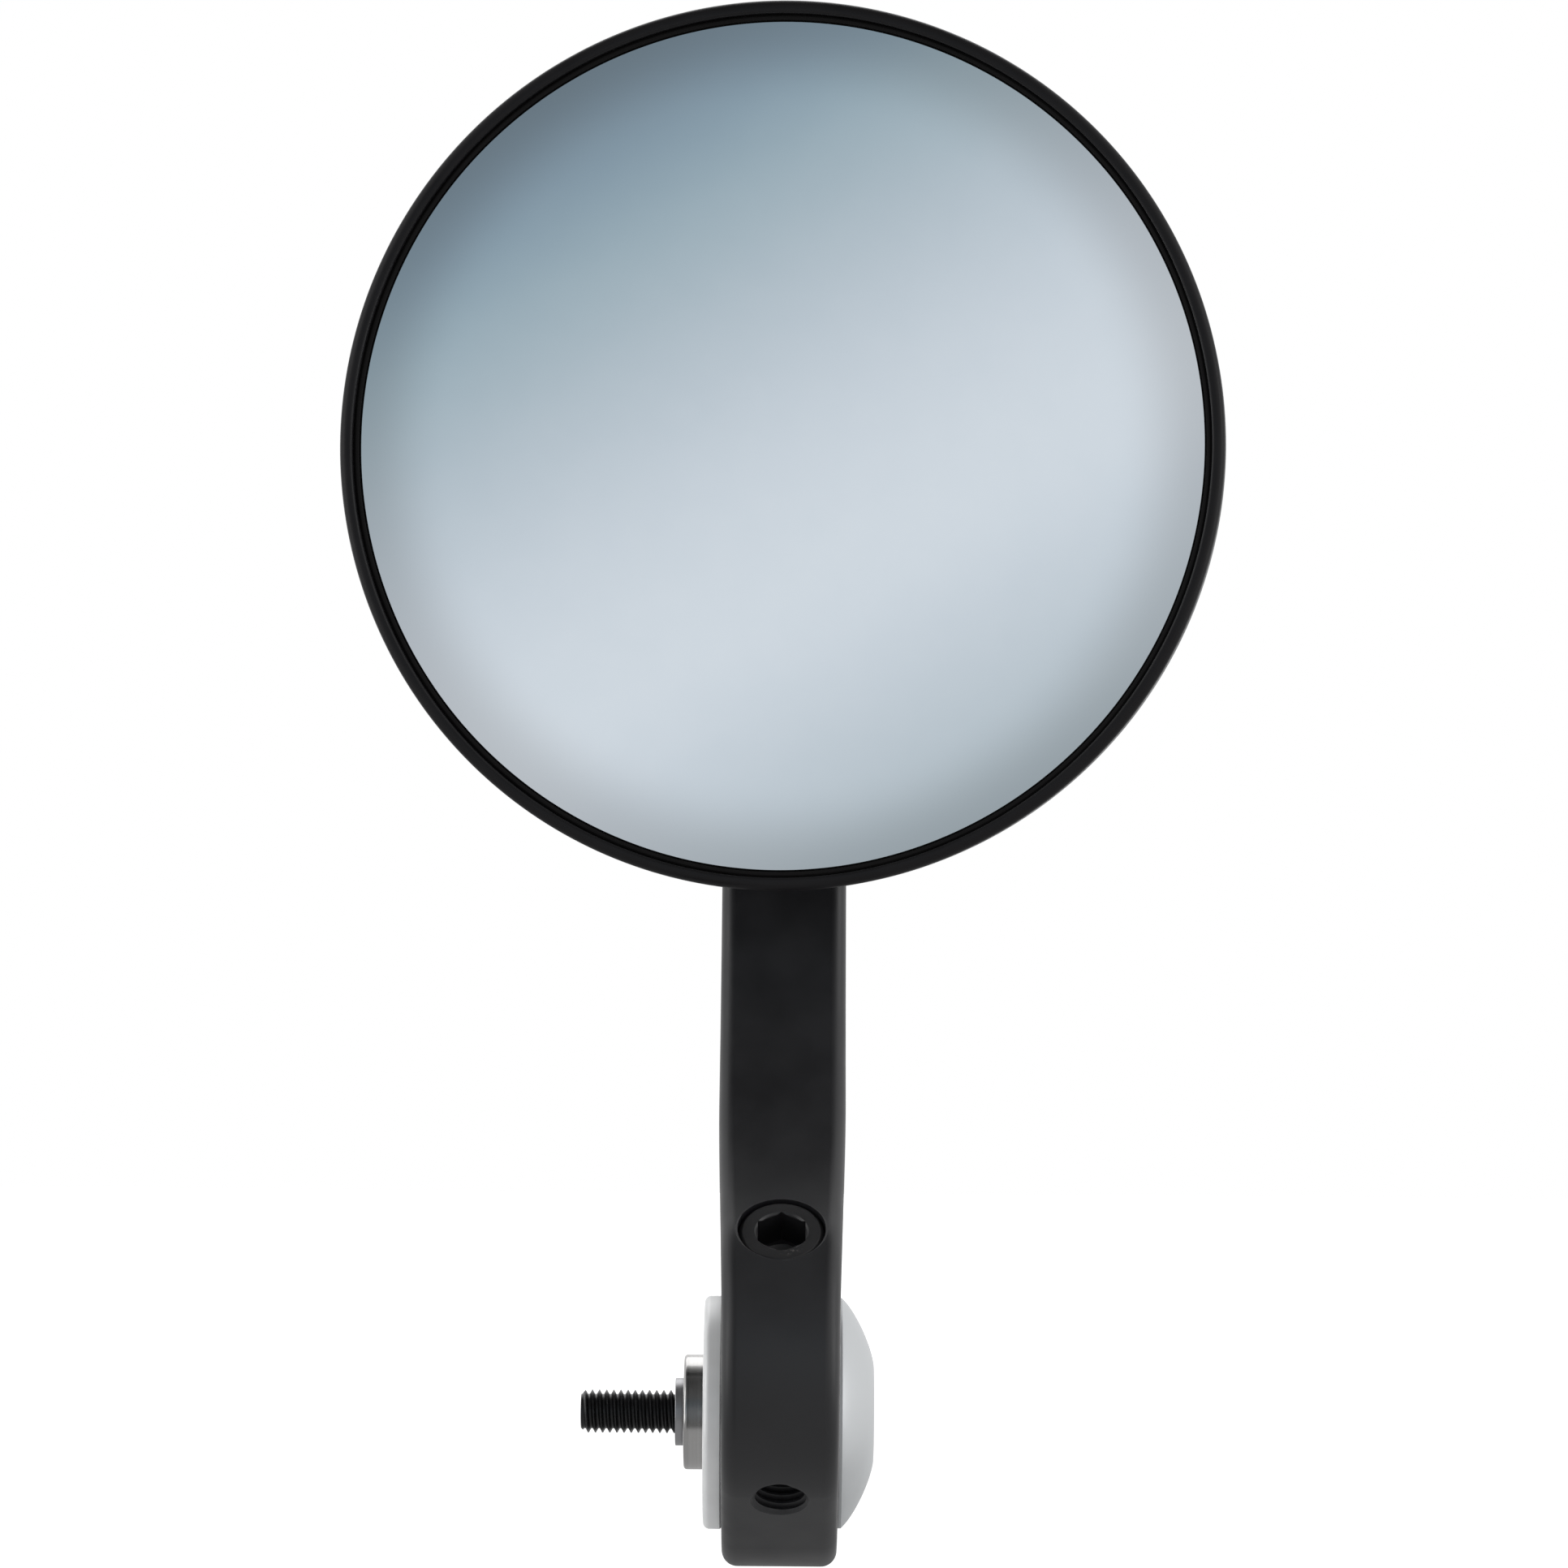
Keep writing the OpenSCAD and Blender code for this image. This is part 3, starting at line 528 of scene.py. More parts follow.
cap_edge = 0.5
cap_break = 0.1
cap_flat_r = 6.8
register_r = 7.5
recess_gap = 0.2
recess_break = 0.3
bolt_head_h = 6.0
rim_pull = Vector((0.4, -0.35))
crown_pull = Vector((-0.09, 0.64))
cap_low, cap_top, cap_r = along_bar("outer_cap")
bolt_low, bolt_top, bolt_head_r = along_bar("bar_bolt")
cap_face = sleeve_high
cap_rise = cap_top - cap_face - cap_edge
cap_start = Vector((cap_face + cap_edge, cap_r))
cap_end = Vector((cap_top, cap_flat_r))
cap_dome = curve(cap_start, cap_start + cap_rise * rim_pull, cap_end + cap_rise * crown_pull, cap_end, 40)
recess_r = bolt_head_r + recess_gap
bolt_seat = bolt_top - bolt_head_h
cap_outline = [(cap_low, clear_r), (cap_low, register_r), (cap_face, register_r),
               (cap_face, cap_r - cap_break), (cap_face + cap_break, cap_r), cap_start]
cap_outline += cap_dome + [(cap_top, recess_r + recess_break), (cap_top - recess_break, recess_r),
                           (bolt_seat, recess_r), (bolt_seat, clear_r)]
cap = turned("domed_cap", cap_outline, on_bar, steps=256)
dress(cap, "outer_cap", blasted_aluminium)

# %% [markdown]
# ## A real thread
# The thread is the most telling small detail. A stack of rings would look almost right from the
# side, and wrong everywhere else, so this is a true helix: the outline of one pitch is repeated
# along the axis and sheared by one pitch per turn. At both ends the points are clamped to the end's
# plane, and the radius tapers down to the chamfer.

# %% Thread helper


def thread_row(crest, root):
    """One pitch of a thread as pairs of a share of the pitch and a radius."""
    middle = (crest + root) / 2
    return [(0.0, crest), (0.0625, crest), (0.125, crest), (0.28, middle), (0.4375, root), (0.5625, root),
            (0.6875, root), (0.845, middle)]


def threaded_rod(name, low, high, crest, root, pitch, place, low_r, high_r, steps=96):
    """A closed threaded rod. The radius at each end grows inwards at 45 degrees."""
    row = thread_row(crest, root)
    count = len(row)
    turns = int((high - low) / pitch) + 3
    shape = bmesh.new()
    grid = []
    for k in range(-2 * count, turns * count):
        share, r = row[k % count]
        ring = []
        for j in range(steps):
            x = low + pitch * (k // count + share + j / steps)
            x = min(max(x, low), high)
            r_here = min(r, low_r + (x - low), high_r + (high - x))
            angle = math.tau * j / steps
            ring.append(shape.verts.new((r_here * math.cos(angle), r_here * math.sin(angle), x)))
        grid.append(ring)
    for k in range(len(grid) - count - 1):
        for j in range(steps):
            after = (k, j + 1) if j + 1 < steps else (k + count, 0)
            corners = [grid[k][j], grid[after[0]][after[1]], grid[after[0] + 1][after[1]], grid[k + 1][j]]
            shape.faces.new(corners)
    bmesh.ops.remove_doubles(shape, verts=shape.verts, dist=1e-4)
    loose = [vert for vert in shape.verts if not vert.link_faces]
    bmesh.ops.delete(shape, geom=loose, context="VERTS")
    open_edges = [e for e in shape.edges if len(e.link_faces) == 1]
    bmesh.ops.holes_fill(shape, edges=open_edges, sides=0)
    return new_piece(name, shape, place)


# %% [markdown]
# The bolt is an M6: 6 mm across its crests, with a pitch of 1 mm. Its thread ends at the washer,
# and a plain shank with a socket head goes on inside the hub, where only the head shows.

# %% Bolt

bolt_pitch = 1.0
bolt_crest = 2.98
bolt_root = 2.40
shank_r = 2.65
shank_nose_r = 2.2
shank_overlap = 0.6
head_chamfer = 0.5
bolt_key = 5.0
bolt = threaded_rod("hub_bolt", bolt_low, washer_high, bolt_crest, bolt_root, bolt_pitch, on_bar,
                    low_r=2.35, high_r=2.3)
shank_at = washer_high - shank_overlap
shank_outline = [(shank_at, 0), (shank_at, shank_nose_r), (washer_high - 0.1, shank_r), (bolt_seat, shank_r),
                 (bolt_seat, bolt_head_r), (bolt_top - head_chamfer, bolt_head_r),
                 (bolt_top, bolt_head_r - head_chamfer), (bolt_top, 0)]
shank = turned("shank", soften(shank_outline, radius=0.2), on_bar, steps=96)
bolt = combine(bolt, [shank], "UNION")
socket = prism("socket", 6, bolt_key, bolt_top - 3.0, bolt_top + 1, on_bar)
mouth = countersink("mouth", bolt_top - 0.35, 2.7, 1.0, on_bar, steps=48)
bolt = combine(bolt, [socket, mouth], "DIFFERENCE")
dress(bolt, "bar_bolt", black_oxide)

# %% [markdown]
# ## The arm
# The arm is one milled bar. Seen from the side it is an egg round the hub: a ring behind the bar's
# axis and a fuller nose in front, which share one tangent at the chin. From the brow the front
# sweeps back in a hollow to the upper blade. All long edges carry the same round.
#
# A loft says this best: one outline, repeated at several depths from side face to side face, with
# each copy drawn inwards by the round. The outline comes from the same few radii as the solid's,
# at a finer step, so the two agree and the highlights run without a break.

# %% Sizes of the arm

blade_w = 17.7
seat_w = arm_high - arm_low
edge_r = 2.2
ring_r = 21.3
nose_r = 22.7
nose = Vector((-10.0, 9.2))
neck_top = 74.0
blade_front = 17.0
blade_rear = 27.0
lean = 0.34
brow_angle = 122.0
nape_angle = 25.0
flare_low = 14.5
flare_high = 44.0
bend_h = 38.0
neck_step_front = 5.0
neck_step_rear = 3.5
print("the arm is", round(seat_w, 2), "mm wide at the hub and", blade_w, "mm at the blade")

# %% [markdown]
# Two functions say where the front and the rear face lie at a height, and a third how wide the arm
# is there. Round stretches are arcs, and the stretches between them are smooth steps that meet
# their neighbours with the same slope, so that no crease shows where one ends.

# %% Faces of the arm


def heading(angle):
    return Vector((math.cos(math.radians(angle)), math.sin(math.radians(angle))))


def ease(a, slope_a, b, slope_b, low, high, z):
    """A smooth step from a to b, with a slope at each end."""
    h = high - low
    t = (z - low) / h
    u = 1 - t
    level_ends = a * u * u * (1 + 2 * t) + b * t * t * (3 - 2 * t)
    return level_ends + h * slope_a * t * u * u - h * slope_b * t * t * u


chin_angle = math.degrees(math.atan2(nose.y, nose.x) + math.acos((ring_r - nose_r) / nose.length))
brow = nose + nose_r * heading(brow_angle)
nape = ring_r * heading(nape_angle)
neck_front = blade_front - neck_step_front
neck_rear = blade_rear - neck_step_rear
bend_top = neck_top + bend_h
hollow_drop = neck_front - lean * (neck_top - brow.y) - brow.x
hollow_power = (1 / math.tan(math.radians(brow_angle - 90)) - lean) * (neck_top - brow.y) / hollow_drop


def front_y(z):
    """Where the front face of the arm lies at a height."""
    if z < brow.y:
        return nose.x - math.sqrt(nose_r**2 - (z - nose.y) ** 2)
    if z < neck_top:
        share = (neck_top - z) / (neck_top - brow.y)
        return neck_front - lean * (neck_top - z) - hollow_drop * share**hollow_power
    if z < bend_top:
        return ease(neck_front, lean, blade_front, 0, neck_top, bend_top, z)
    return blade_front


def rear_y(z):
    """Where the rear face of the arm lies at a height."""
    if z < neck_top:
        return ease(nape.x, -math.tan(math.radians(nape_angle)), neck_rear, lean, nape.y, neck_top, z)
    if z < bend_top:
        return ease(neck_rear, lean, blade_rear, 0, neck_top, bend_top, z)
    return blade_rear


def half_width(z):
    if z < flare_low:
        return seat_w / 2
    if z < flare_high:
        return ease(seat_w / 2, 0, blade_w / 2, 0, flare_low, flare_high, z)
    return blade_w / 2


print("the chin is at", round(chin_angle, 1), "degrees, the brow at", round(brow.y, 1), "mm")

# %% [markdown]
# Above the height where the arm starts to widen, the outline has a point in front and one behind at
# each of the same heights, so that a strip can join them across the side face. Below it the points
# follow the nose and the ring. The heights lie closer together where the hollow of the neck starts.

# %% Points of the outline

front_turn = 180 - math.degrees(math.asin((flare_low - nose.y) / nose_r))
brow_steps = 16
neck_steps = 40
bend_steps = 20
crowding = 1.3
levels = []
for i in range(brow_steps + 1):
    angle = front_turn + (brow_angle - front_turn) * i / brow_steps
    levels.append(nose.y + nose_r * math.sin(math.radians(angle)))
for i in range(1, neck_steps + 1):
    levels.append(brow.y + (neck_top - brow.y) * (i / neck_steps) ** crowding)
for i in range(1, bend_steps + 1):
    levels.append(neck_top + (bend_top - neck_top) * i / bend_steps)
levels.append(ball.z)

low_front = arc((0, 0), ring_r, 270, chin_angle, 14) + arc(nose, nose_r, chin_angle, front_turn, 44)[1:-1]
low_rear = []
for i in range(7, 0, -1):
    z = nape.y + (flare_low - nape.y) * i / 8
    low_rear.append(Vector((rear_y(z), z)))
low_rear += arc((0, 0), ring_r, nape_angle, -80, 40)
front = [Vector((front_y(z), z)) for z in levels]
rear = [Vector((rear_y(z), z)) for z in reversed(levels)]
outline = low_front + front + rear + low_rear
print("the arm's outline has", len(outline), "points")

# %% [markdown]
# The loops run from one side face to the other. Each is the outline moved inwards by the round at
# that angle. The side faces are closed in two kinds of piece: one flat face round the bar, where
# flange and cap bear, and strips across the neck, where the arm widens.

# %% Loft of the arm

round_angles = [90 - 7.5 * i for i in range(13)]
count = len(outline)
normals = []
for i in range(count):
    run = (outline[(i + 1) % count] - outline[i - 1]).normalized()
    normals.append(Vector((-run.y, run.x)))


def loop_points(side, angle):
    """One copy of the outline. Side is -1 or 1, and the angle is 90 on the side face."""
    drawn_in = edge_r * (1 - math.cos(math.radians(angle)))
    narrowed = edge_r * (1 - math.sin(math.radians(angle)))
    points = []
    for point, normal in zip(outline, normals):
        p = point - normal * drawn_in
        points.append((arm_mid + side * (half_width(p.y) - narrowed), p.x, p.y))
    return points


shape = bmesh.new()
rings = [[shape.verts.new(p) for p in loop_points(-1, a)] for a in round_angles]
rings += [[shape.verts.new(p) for p in loop_points(1, a)] for a in reversed(round_angles)]
for low, high in zip(rings, rings[1:]):
    for i in range(count):
        j = (i + 1) % count
        shape.faces.new((low[i], low[j], high[j], high[i]))
first = len(low_front)
last = first + 2 * len(levels) - 1
for ring in (rings[0], rings[-1]):
    shape.faces.new(ring[:first + 1] + ring[last:])
    for i in range(len(levels) - 1):
        shape.faces.new((ring[first + i], ring[first + i + 1], ring[last - i - 1], ring[last - i]))
arm = new_piece("machined_arm", shape, Matrix.Identity(4))
print("the loft has", len(arm.data.polygons), "faces")

# %% [markdown]
# A round boss at the top seats the ball stud. It stands a little proud of both faces of the blade,
# with a round of its own.

# %% Boss of the arm

boss_r = 11.5
boss_proud = 0.6
boss_round = 1.6
boss_front = blade_front - boss_proud
boss_rear = blade_rear + boss_proud
at_boss = at_mm(arm_mid, 0, ball.z) @ Matrix.Rotation(math.radians(-90), 4, "X")
boss_outline = [(boss_front, 0)] + arc((boss_front + boss_round, boss_r - boss_round), boss_round, 180, 90, 8)
boss_outline += arc((boss_rear - boss_round, boss_r - boss_round), boss_round, 90, 0, 8) + [(boss_rear, 0)]
boss = turned("boss", boss_outline, at_boss, steps=144)
arm = combine(arm, [boss], "UNION")
print("the boss stands", boss_proud, "mm proud on both faces")

# %% [markdown]
# The lock screw points at the bar's axis from above and in front. The tapped hole in the chin
# points at the middle of the nose. Each gets a place of its own, whose +Z leaves the arm.

# %% Places of the lock screw and of the hole in the chin

lock_angle = 51.0
lock_dir = heading(180 - lock_angle)
lock_along = lock_dir.dot(nose)
lock_crown = lock_along + math.sqrt(lock_along**2 + nose_r**2 - nose.length_squared)
on_lock = at_mm(arm_mid, 0, 0) @ Matrix.Rotation(math.radians(90 - lock_angle), 4, "X")
chin = nose + nose_r * heading(chin_angle)
on_chin = at_mm(arm_mid, chin.x, chin.y) @ Matrix.Rotation(math.radians(chin_angle - 90), 4, "X")
print("the lock screw's hole leaves the nose", round(lock_crown, 1), "mm from the bar's axis")

# %% [markdown]
# The bore runs on the hub's sleeve with a little play, and each side face has a shallow recess for
# a slip washer. The small hole in the chin has a real M8 thread, so its cutter is a threaded rod.
# The mouths of both screw holes are widened at 45 degrees.

# %% Cutters for the hub end

beyond = 30.0
slip_t = 0.9
slip_r = along_bar("inner_slip_washer")[2] + 0.1
bore_r = sleeve_r + slip_gap
bore = turned("bore", [(-2, 0), (-2, bore_r), (beyond, bore_r), (beyond, 0)], on_bar, steps=192)
inner_floor = arm_low + slip_t
outer_floor = arm_high - slip_t
inner_recess = turned("inner_recess", [(0, 0), (0, slip_r), (inner_floor, slip_r), (inner_floor, 0)],
                      on_bar, steps=128)
outer_recess = turned("outer_recess", [(outer_floor, 0), (outer_floor, slip_r), (beyond, slip_r),
                                       (beyond, 0)], on_bar, steps=128)

lock_hole_r = 6.0
lock_mouth_r = lock_hole_r + 1
tap_depth = 12.0
tap_crest = 3.95
tap_root = 3.35
tap_pitch = 1.25
lock_hole = turned("lock_hole", [(9, 0), (9, lock_hole_r), (lock_crown - 0.3, lock_hole_r),
                                 (lock_crown + 0.7, lock_mouth_r), (lock_crown + 4, lock_mouth_r),
                                 (lock_crown + 4, 0)], on_lock, steps=128)
tap = threaded_rod("tap", -tap_depth, 2.0, tap_crest, tap_root, tap_pitch, on_chin,
                   low_r=3.0, high_r=3.0, steps=64)
tap_mouth = turned("tap_mouth", [(-0.6, 0), (-0.6, 3.4), (0.7, 4.7), (3, 4.7), (3, 0)], on_chin, steps=96)
hub_cutters = [bore, inner_recess, outer_recess, lock_hole, tap, tap_mouth]
print("cutters at the hub end:", len(hub_cutters))

# %% [markdown]
# The boss takes the foot of the ball stud from the front and its screw from behind. Once all holes
# are cut, the large faces lead the shading of the rounds beside them, so that flat faces look flat.

# %% Cutters for the boss, and the finished arm

stud_foot_r = 4.05
stud_foot_h = 5.3
screw_r = 2.7
counter_r = 5.0
counter_depth = 3.6
foot_floor = boss_front + stud_foot_h
foot_hole = turned("foot_hole", [(boss_front - 1, 0), (boss_front - 1, stud_foot_r),
                                 (foot_floor, stud_foot_r), (foot_floor, 0)], at_boss, steps=64)
screw_hole = turned("screw_hole", [(boss_front, 0), (boss_front, screw_r), (boss_rear + 1, screw_r),
                                   (boss_rear + 1, 0)], at_boss, steps=48)
counterbore = turned("counterbore", [(boss_rear - counter_depth, 0), (boss_rear - counter_depth, counter_r),
                                     (boss_rear - 0.4, counter_r), (boss_rear + 0.6, counter_r + 1),
                                     (boss_rear + 0.6, 0)], at_boss, steps=96)
arm = combine(arm, hub_cutters + [foot_hole, screw_hole, counterbore], "DIFFERENCE")
flats = arm.modifiers.new("flat faces", "WEIGHTED_NORMAL")
flats.keep_sharp = True
flats.weight = 90
dress(arm, "arm", satin_black)

# %% [markdown]
# ## The lock screw
# A set screw as wide as a finger nail, with a socket for a hexagon key. A key has rubbed it below the socket,
# so this screw gets its own finish: a black like the other screws', with a few bright specks that thin out
# away from the rubbed spot. The specks are partly metal rubbed bare by the key and partly a painted glint of
# light.

# %% Finish of the lock screw

lock_finish = new_finish("lock_screw_black", (0.0090, 0.0088, 0.0100), rough=0.40, grain=8.0, spread=0.2,
                         bump=0.2, wear=(0.05, 0.05, 0.05), wear_mm=0.15, wear_most=0.5)
lock_tree = lock_finish.node_tree
lock_shader = lock_tree.nodes["Principled BSDF"]
where = add(lock_tree, "ShaderNodeTexCoord")
scuff_glint_centre = Vector((1.0, -2.8, 34.5))
scuff_glint_far = 2.3
scuff_glint_near = 0.8
off_centre = add(lock_tree, "ShaderNodeVectorMath", {0: where.outputs["Object"]}, operation="SUBTRACT")
off_centre.inputs[1].default_value = scuff_glint_centre * MM
near = distance_mask(lock_tree, off_centre.outputs[0], scuff_glint_far * MM, scuff_glint_near * MM, "LINEAR")
specks = add(lock_tree, "ShaderNodeTexNoise", {"Vector": where.outputs["Object"]},
             {"Scale": 1700.0, "Detail": 4.0, "Roughness": 0.7})
bright = add(lock_tree, "ShaderNodeMapRange", {"Value": specks.outputs["Fac"]},
             {"From Min": 0.55, "From Max": 0.68})
scuff_glints = add(lock_tree, "ShaderNodeMath", {0: near, 1: bright.outputs[0]}, operation="MULTIPLY")
plain = lock_shader.inputs["Base Color"].links[0].from_socket
# Painted glint: the specks take a lighter colour, standing for bare metal and for a glint of light on it.
scuffed_glinting = blend_colours(lock_tree, scuff_glints.outputs[0], plain, (0.16, 0.15, 0.14))
lock_tree.links.new(scuffed_glinting, lock_shader.inputs["Base Color"])
print("lock screw finish:", lock_finish.name)

# %% Lock screw

lock_sunk = 0.8
saddle_h = 7.2
lock_r = 5.8
lock_chamfer = 0.5
lock_key = 6.5
lock_key_depth = 5.2
lock_top = lock_crown - lock_sunk
lock_low = sleeve_r + saddle_h
lock_outline = [(lock_low, 0), (lock_low, lock_r - lock_chamfer), (lock_low + lock_chamfer, lock_r),
                (lock_top - lock_chamfer, lock_r), (lock_top, lock_r - lock_chamfer), (lock_top, 0)]
lock = turned("lock_set_screw", soften(lock_outline, radius=0.15), on_lock, steps=128)
key_hole = prism("key_hole", 6, lock_key, lock_top - lock_key_depth, lock_top + 1, on_lock, turn=30)
key_drill = turned("key_drill", [(lock_top - 7.0, 0), (lock_top - 5.3, 2.9), (lock_top - 5.0, 2.9),
                                 (lock_top - 5.0, 0)], on_lock, steps=48)
key_mouth = countersink("key_mouth", lock_top - 0.25, 3.45, 1.0, on_lock, steps=64)
lock = combine(lock, [key_hole, key_drill, key_mouth], "DIFFERENCE")
dress(lock, "lock_screw", lock_finish)

# %% [markdown]
# ## The ball joint
# Behind the head a ball stud is screwed to the blade. From behind one sees its collar, its neck and
# a rubber ring round the opening, and on the back of the arm the button head of its screw.

# %% Ball stud

ball_r = 6.5
neck_r = 2.7
neck_fillet = 0.6
collar_t = 2.0
collar_r = 6.5
collar_chamfer = 0.5
foot_r = 4.0
foot_h = 5.0
neck_end = ball.y + math.sqrt(ball_r**2 - neck_r**2)
neck_angle = math.degrees(math.asin(neck_r / ball_r))
collar_at = boss_front - collar_t
stud_outline = [(ball.y - ball_r, 0)] + arc((ball.y, 0), ball_r, 177, neck_angle, 40)
stud_outline += [(neck_end + neck_fillet, neck_r), (collar_at - neck_fillet, neck_r),
                 (collar_at, neck_r + neck_fillet), (collar_at, collar_r - collar_chamfer),
                 (collar_at + collar_chamfer, collar_r), (boss_front, collar_r), (boss_front, foot_r),
                 (boss_front + foot_h, foot_r), (boss_front + foot_h, 0)]
stud = turned("head_ball_stud", stud_outline, at_boss, steps=128)
dress(stud, "ball_stud", turned_steel)

# %% [markdown]
# A thin washer and a button head screw hold the stud from behind, in the counterbore of the boss.

# %% Washer and screw of the stud

stud_washer_r = 4.7
stud_washer_t = 0.8
washer_seat = boss_rear - counter_depth
button_seat = washer_seat + stud_washer_t
stud_washer_outline = [(washer_seat, screw_r), (washer_seat, stud_washer_r), (button_seat, stud_washer_r),
                       (button_seat, screw_r)]
stud_washer = turned("thin_washer", soften(stud_washer_outline, radius=0.12), at_boss, steps=96)
dress(stud_washer, "stud_washer", zinc_grey)

button_h = 2.6
button_rim = 0.6
button_head_r = 4.5
button_shank_r = 2.48
button_key = 3.0
button_top = button_seat + button_h
button_outline = [(boss_front - 2.5, 0), (boss_front - 2.5, 2.2), (boss_front - 2.2, button_shank_r),
                  (button_seat, button_shank_r), (button_seat, button_head_r),
                  (button_seat + button_rim, button_head_r)]
button_outline += curve((button_seat + button_rim, button_head_r), (button_seat + 1.7, 4.4),
                        (button_top, 3.6), (button_top, 2.6), 10)
button = turned("stud_button_screw", button_outline + [(button_top, 0)], at_boss, steps=96)
button_socket = prism("button_socket", 6, button_key, button_top - 1.8, button_top + 1, at_boss)
button = combine(button, [button_socket], "DIFFERENCE")
dress(button, "stud_screw", black_oxide)

# %% [markdown]
# ## The head
# The housing is one turned shell: a soft lip round the glass, a short straight wall, a round
# shoulder and a shallow dome behind. The same curves as the solid's are turned about the axis in
# which the glass looks, at a step fine enough for an unbroken highlight round the rim.

# %% Sizes of the head

head_turned = Matrix.Rotation(math.atan2(facing.x, -facing.y), 4, "Z")
at_head = at_mm(*ball) @ head_turned @ Matrix.Rotation(math.radians(90), 4, "X")
housing_low, housing_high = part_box("mirror_housing")
head_r = (housing_high.z - housing_low.z) / 2 / MM
rim_at = 13.0
head_depth = 17.6
back_at = rim_at - head_depth
wall = 2.2
rim_w = 1.8
rim_round = 1.2
rim_depth = 5.5
seal_w = 0.8
recess = head_r - rim_w
glass_r = recess - seal_w
glass_curve = 1200.0
crown_at = rim_at - 0.4
stack_t = 3.6
boss_at = 3.0
plate_r = 17.5
pocket_r = 8.1
cavity_step = 2.4
lip = 0.4
seal_sink = 0.6
dust_r = 9.8
dust_break = 0.15
print("head", round(2 * head_r, 1), "mm across, glass", round(2 * glass_r, 1))

# %% [markdown]
# The glass is part of a large sphere, and the ledge that carries it follows from its place there.
# The curve of the back is drawn twice: once outside, and once moved inwards by the wall.

# %% Housing


def glass_at(radius):
    """How far in front of the ball's centre the glass lies at a radius."""
    return crown_at - glass_curve + math.sqrt(glass_curve**2 - radius**2)


def back_curve(inwards):
    """The back of the housing, from the straight wall to the flat in the middle."""
    low = back_at + inwards
    dome = Vector((low + 1.7, head_r - 14 - inwards / 2))
    slope = Vector((0.075, 1)).normalized()
    wall_end = Vector((rim_at - rim_depth, head_r - inwards))
    shoulder = curve(wall_end, wall_end - Vector((7.3, 0)), dome + 8 * slope, dome, 36)
    return shoulder + curve(dome, dome - 16 * slope, (low, plate_r + 5), (low, plate_r), 16)


ledge_at = glass_at(recess) - stack_t
cavity_r = recess - cavity_step
pocket_low = math.sqrt(pocket_r**2 - (back_at + seal_sink) ** 2)
pocket_angle = math.degrees(math.atan2(pocket_low, back_at + seal_sink))
boss_angle = math.degrees(math.acos(boss_at / pocket_r))
inside = [Vector((p.x, min(p.y, cavity_r))) for p in back_curve(wall)]
housing_outline = arc((rim_at - lip, recess + lip), lip, 270, 360, 6)
housing_outline += arc((rim_at - rim_round, head_r - rim_round), rim_round, 0, 90, 12)
housing_outline += [Vector((rim_at - rim_depth, head_r))] + back_curve(0)
housing_outline += [(back_at, dust_r + dust_break), (back_at + dust_break, dust_r),
                    (back_at + seal_sink, dust_r)]
housing_outline += arc((0, 0), pocket_r, pocket_angle, boss_angle, 20)
housing_outline += [(boss_at, plate_r), (back_at + wall, plate_r)]
housing_outline += list(reversed(inside)) + [(ledge_at, cavity_r), (ledge_at, recess)]
housing = turned("head_housing", housing_outline, at_head, steps=288)
dress(housing, "mirror_housing", shaded_head_black)

# %% [markdown]
# The glass is a shallow cap of a large sphere, ground at its edge. A rubber ring fills the gap
# between it and the rim, and a second ring closes the opening at the back.

# %% Glass and rubber rings

ground = 0.25
glass_t = 2.0
glass_steps = 40
ground_r = glass_r - ground
edge_at = glass_at(glass_r)
radii = [ground_r * (1 - i / glass_steps) for i in range(glass_steps + 1)]
glass_outline = [Vector((glass_at(r), r)) for r in radii]
glass_outline += [Vector((glass_at(r) - glass_t, r)) for r in reversed(radii)]
glass_outline += [Vector((edge_at - glass_t + ground, glass_r)), Vector((edge_at - ground, glass_r))]
glass = turned("convex_glass", glass_outline, at_head, steps=288)
dress(glass, "mirror_glass", silvered)

seal_lap = 0.5
seal_inner = glass_r + 0.02
seal_outer = recess - 0.02
seal_top = edge_at + seal_lap
seal_low = edge_at - glass_t - seal_lap
seal_outline = [(seal_low, seal_inner), (seal_low, seal_outer), (seal_top - 0.15, seal_outer),
                (seal_top, glass_r + 0.45), (seal_top - 0.1, seal_inner)]
seal = turned("glass_seal_ring", soften(seal_outline, radius=0.16), at_head, steps=288)
dress(seal, "glass_seal", soft_rubber)

groove = 0.15
dust_ring = [(0.5, 7.3), (0.1, 7.3), (0.0, 7.6), (groove, 8.0), (groove, 8.4), (0.0, 8.8), (0.0, 9.4),
             (groove, 9.7), (0.5, 9.7)]
dust_outline = [(back_at + depth, radius) for depth, radius in dust_ring]
dust = turned("dust_seal_ring", soften(dust_outline, radius=0.1), at_head, steps=144)
dress(dust, "dust_seal", soft_rubber)

# %% [markdown]
# ## The inner pieces
# The sleeve, the slip washers, the liners and what clamps them are out of sight, so the solids stay
# as they are and only get their finish. Shading them by angle keeps their turned faces smooth.

# %% Finishes of the inner pieces

inner_finishes = {
    "clamp_sleeve": turned_steel,
    "inner_slip_washer": bearing_nylon,
    "outer_slip_washer": bearing_nylon,
    "lock_pad": turned_brass,
    "front_liner": bearing_nylon,
    "rear_liner": bearing_nylon,
    "clamp_plate": zinc_grey,
    "clamp_screws": black_oxide,
    "spring_washers": zinc_grey,
    "glass_carrier": moulded_black,
    "glass_pad": cell_foam,
}
for node, finish in inner_finishes.items():
    solid = frame["nodes"][node]
    solid.data.materials.clear()
    solid.data.materials.append(finish)
    smooth(solid, 30)
print("inner pieces with a finish:", len(inner_finishes))

# %% [markdown]
# ## The studio
# The picture is of a part hung in a pale tent. Floor and background are white to the camera, and
# white to the metal and the glass that mirror them. What gives the black arm its shape is what is
# not white: a shaded panel that bends over the part, and a grey card on the floor.

# %% Helpers for the studio


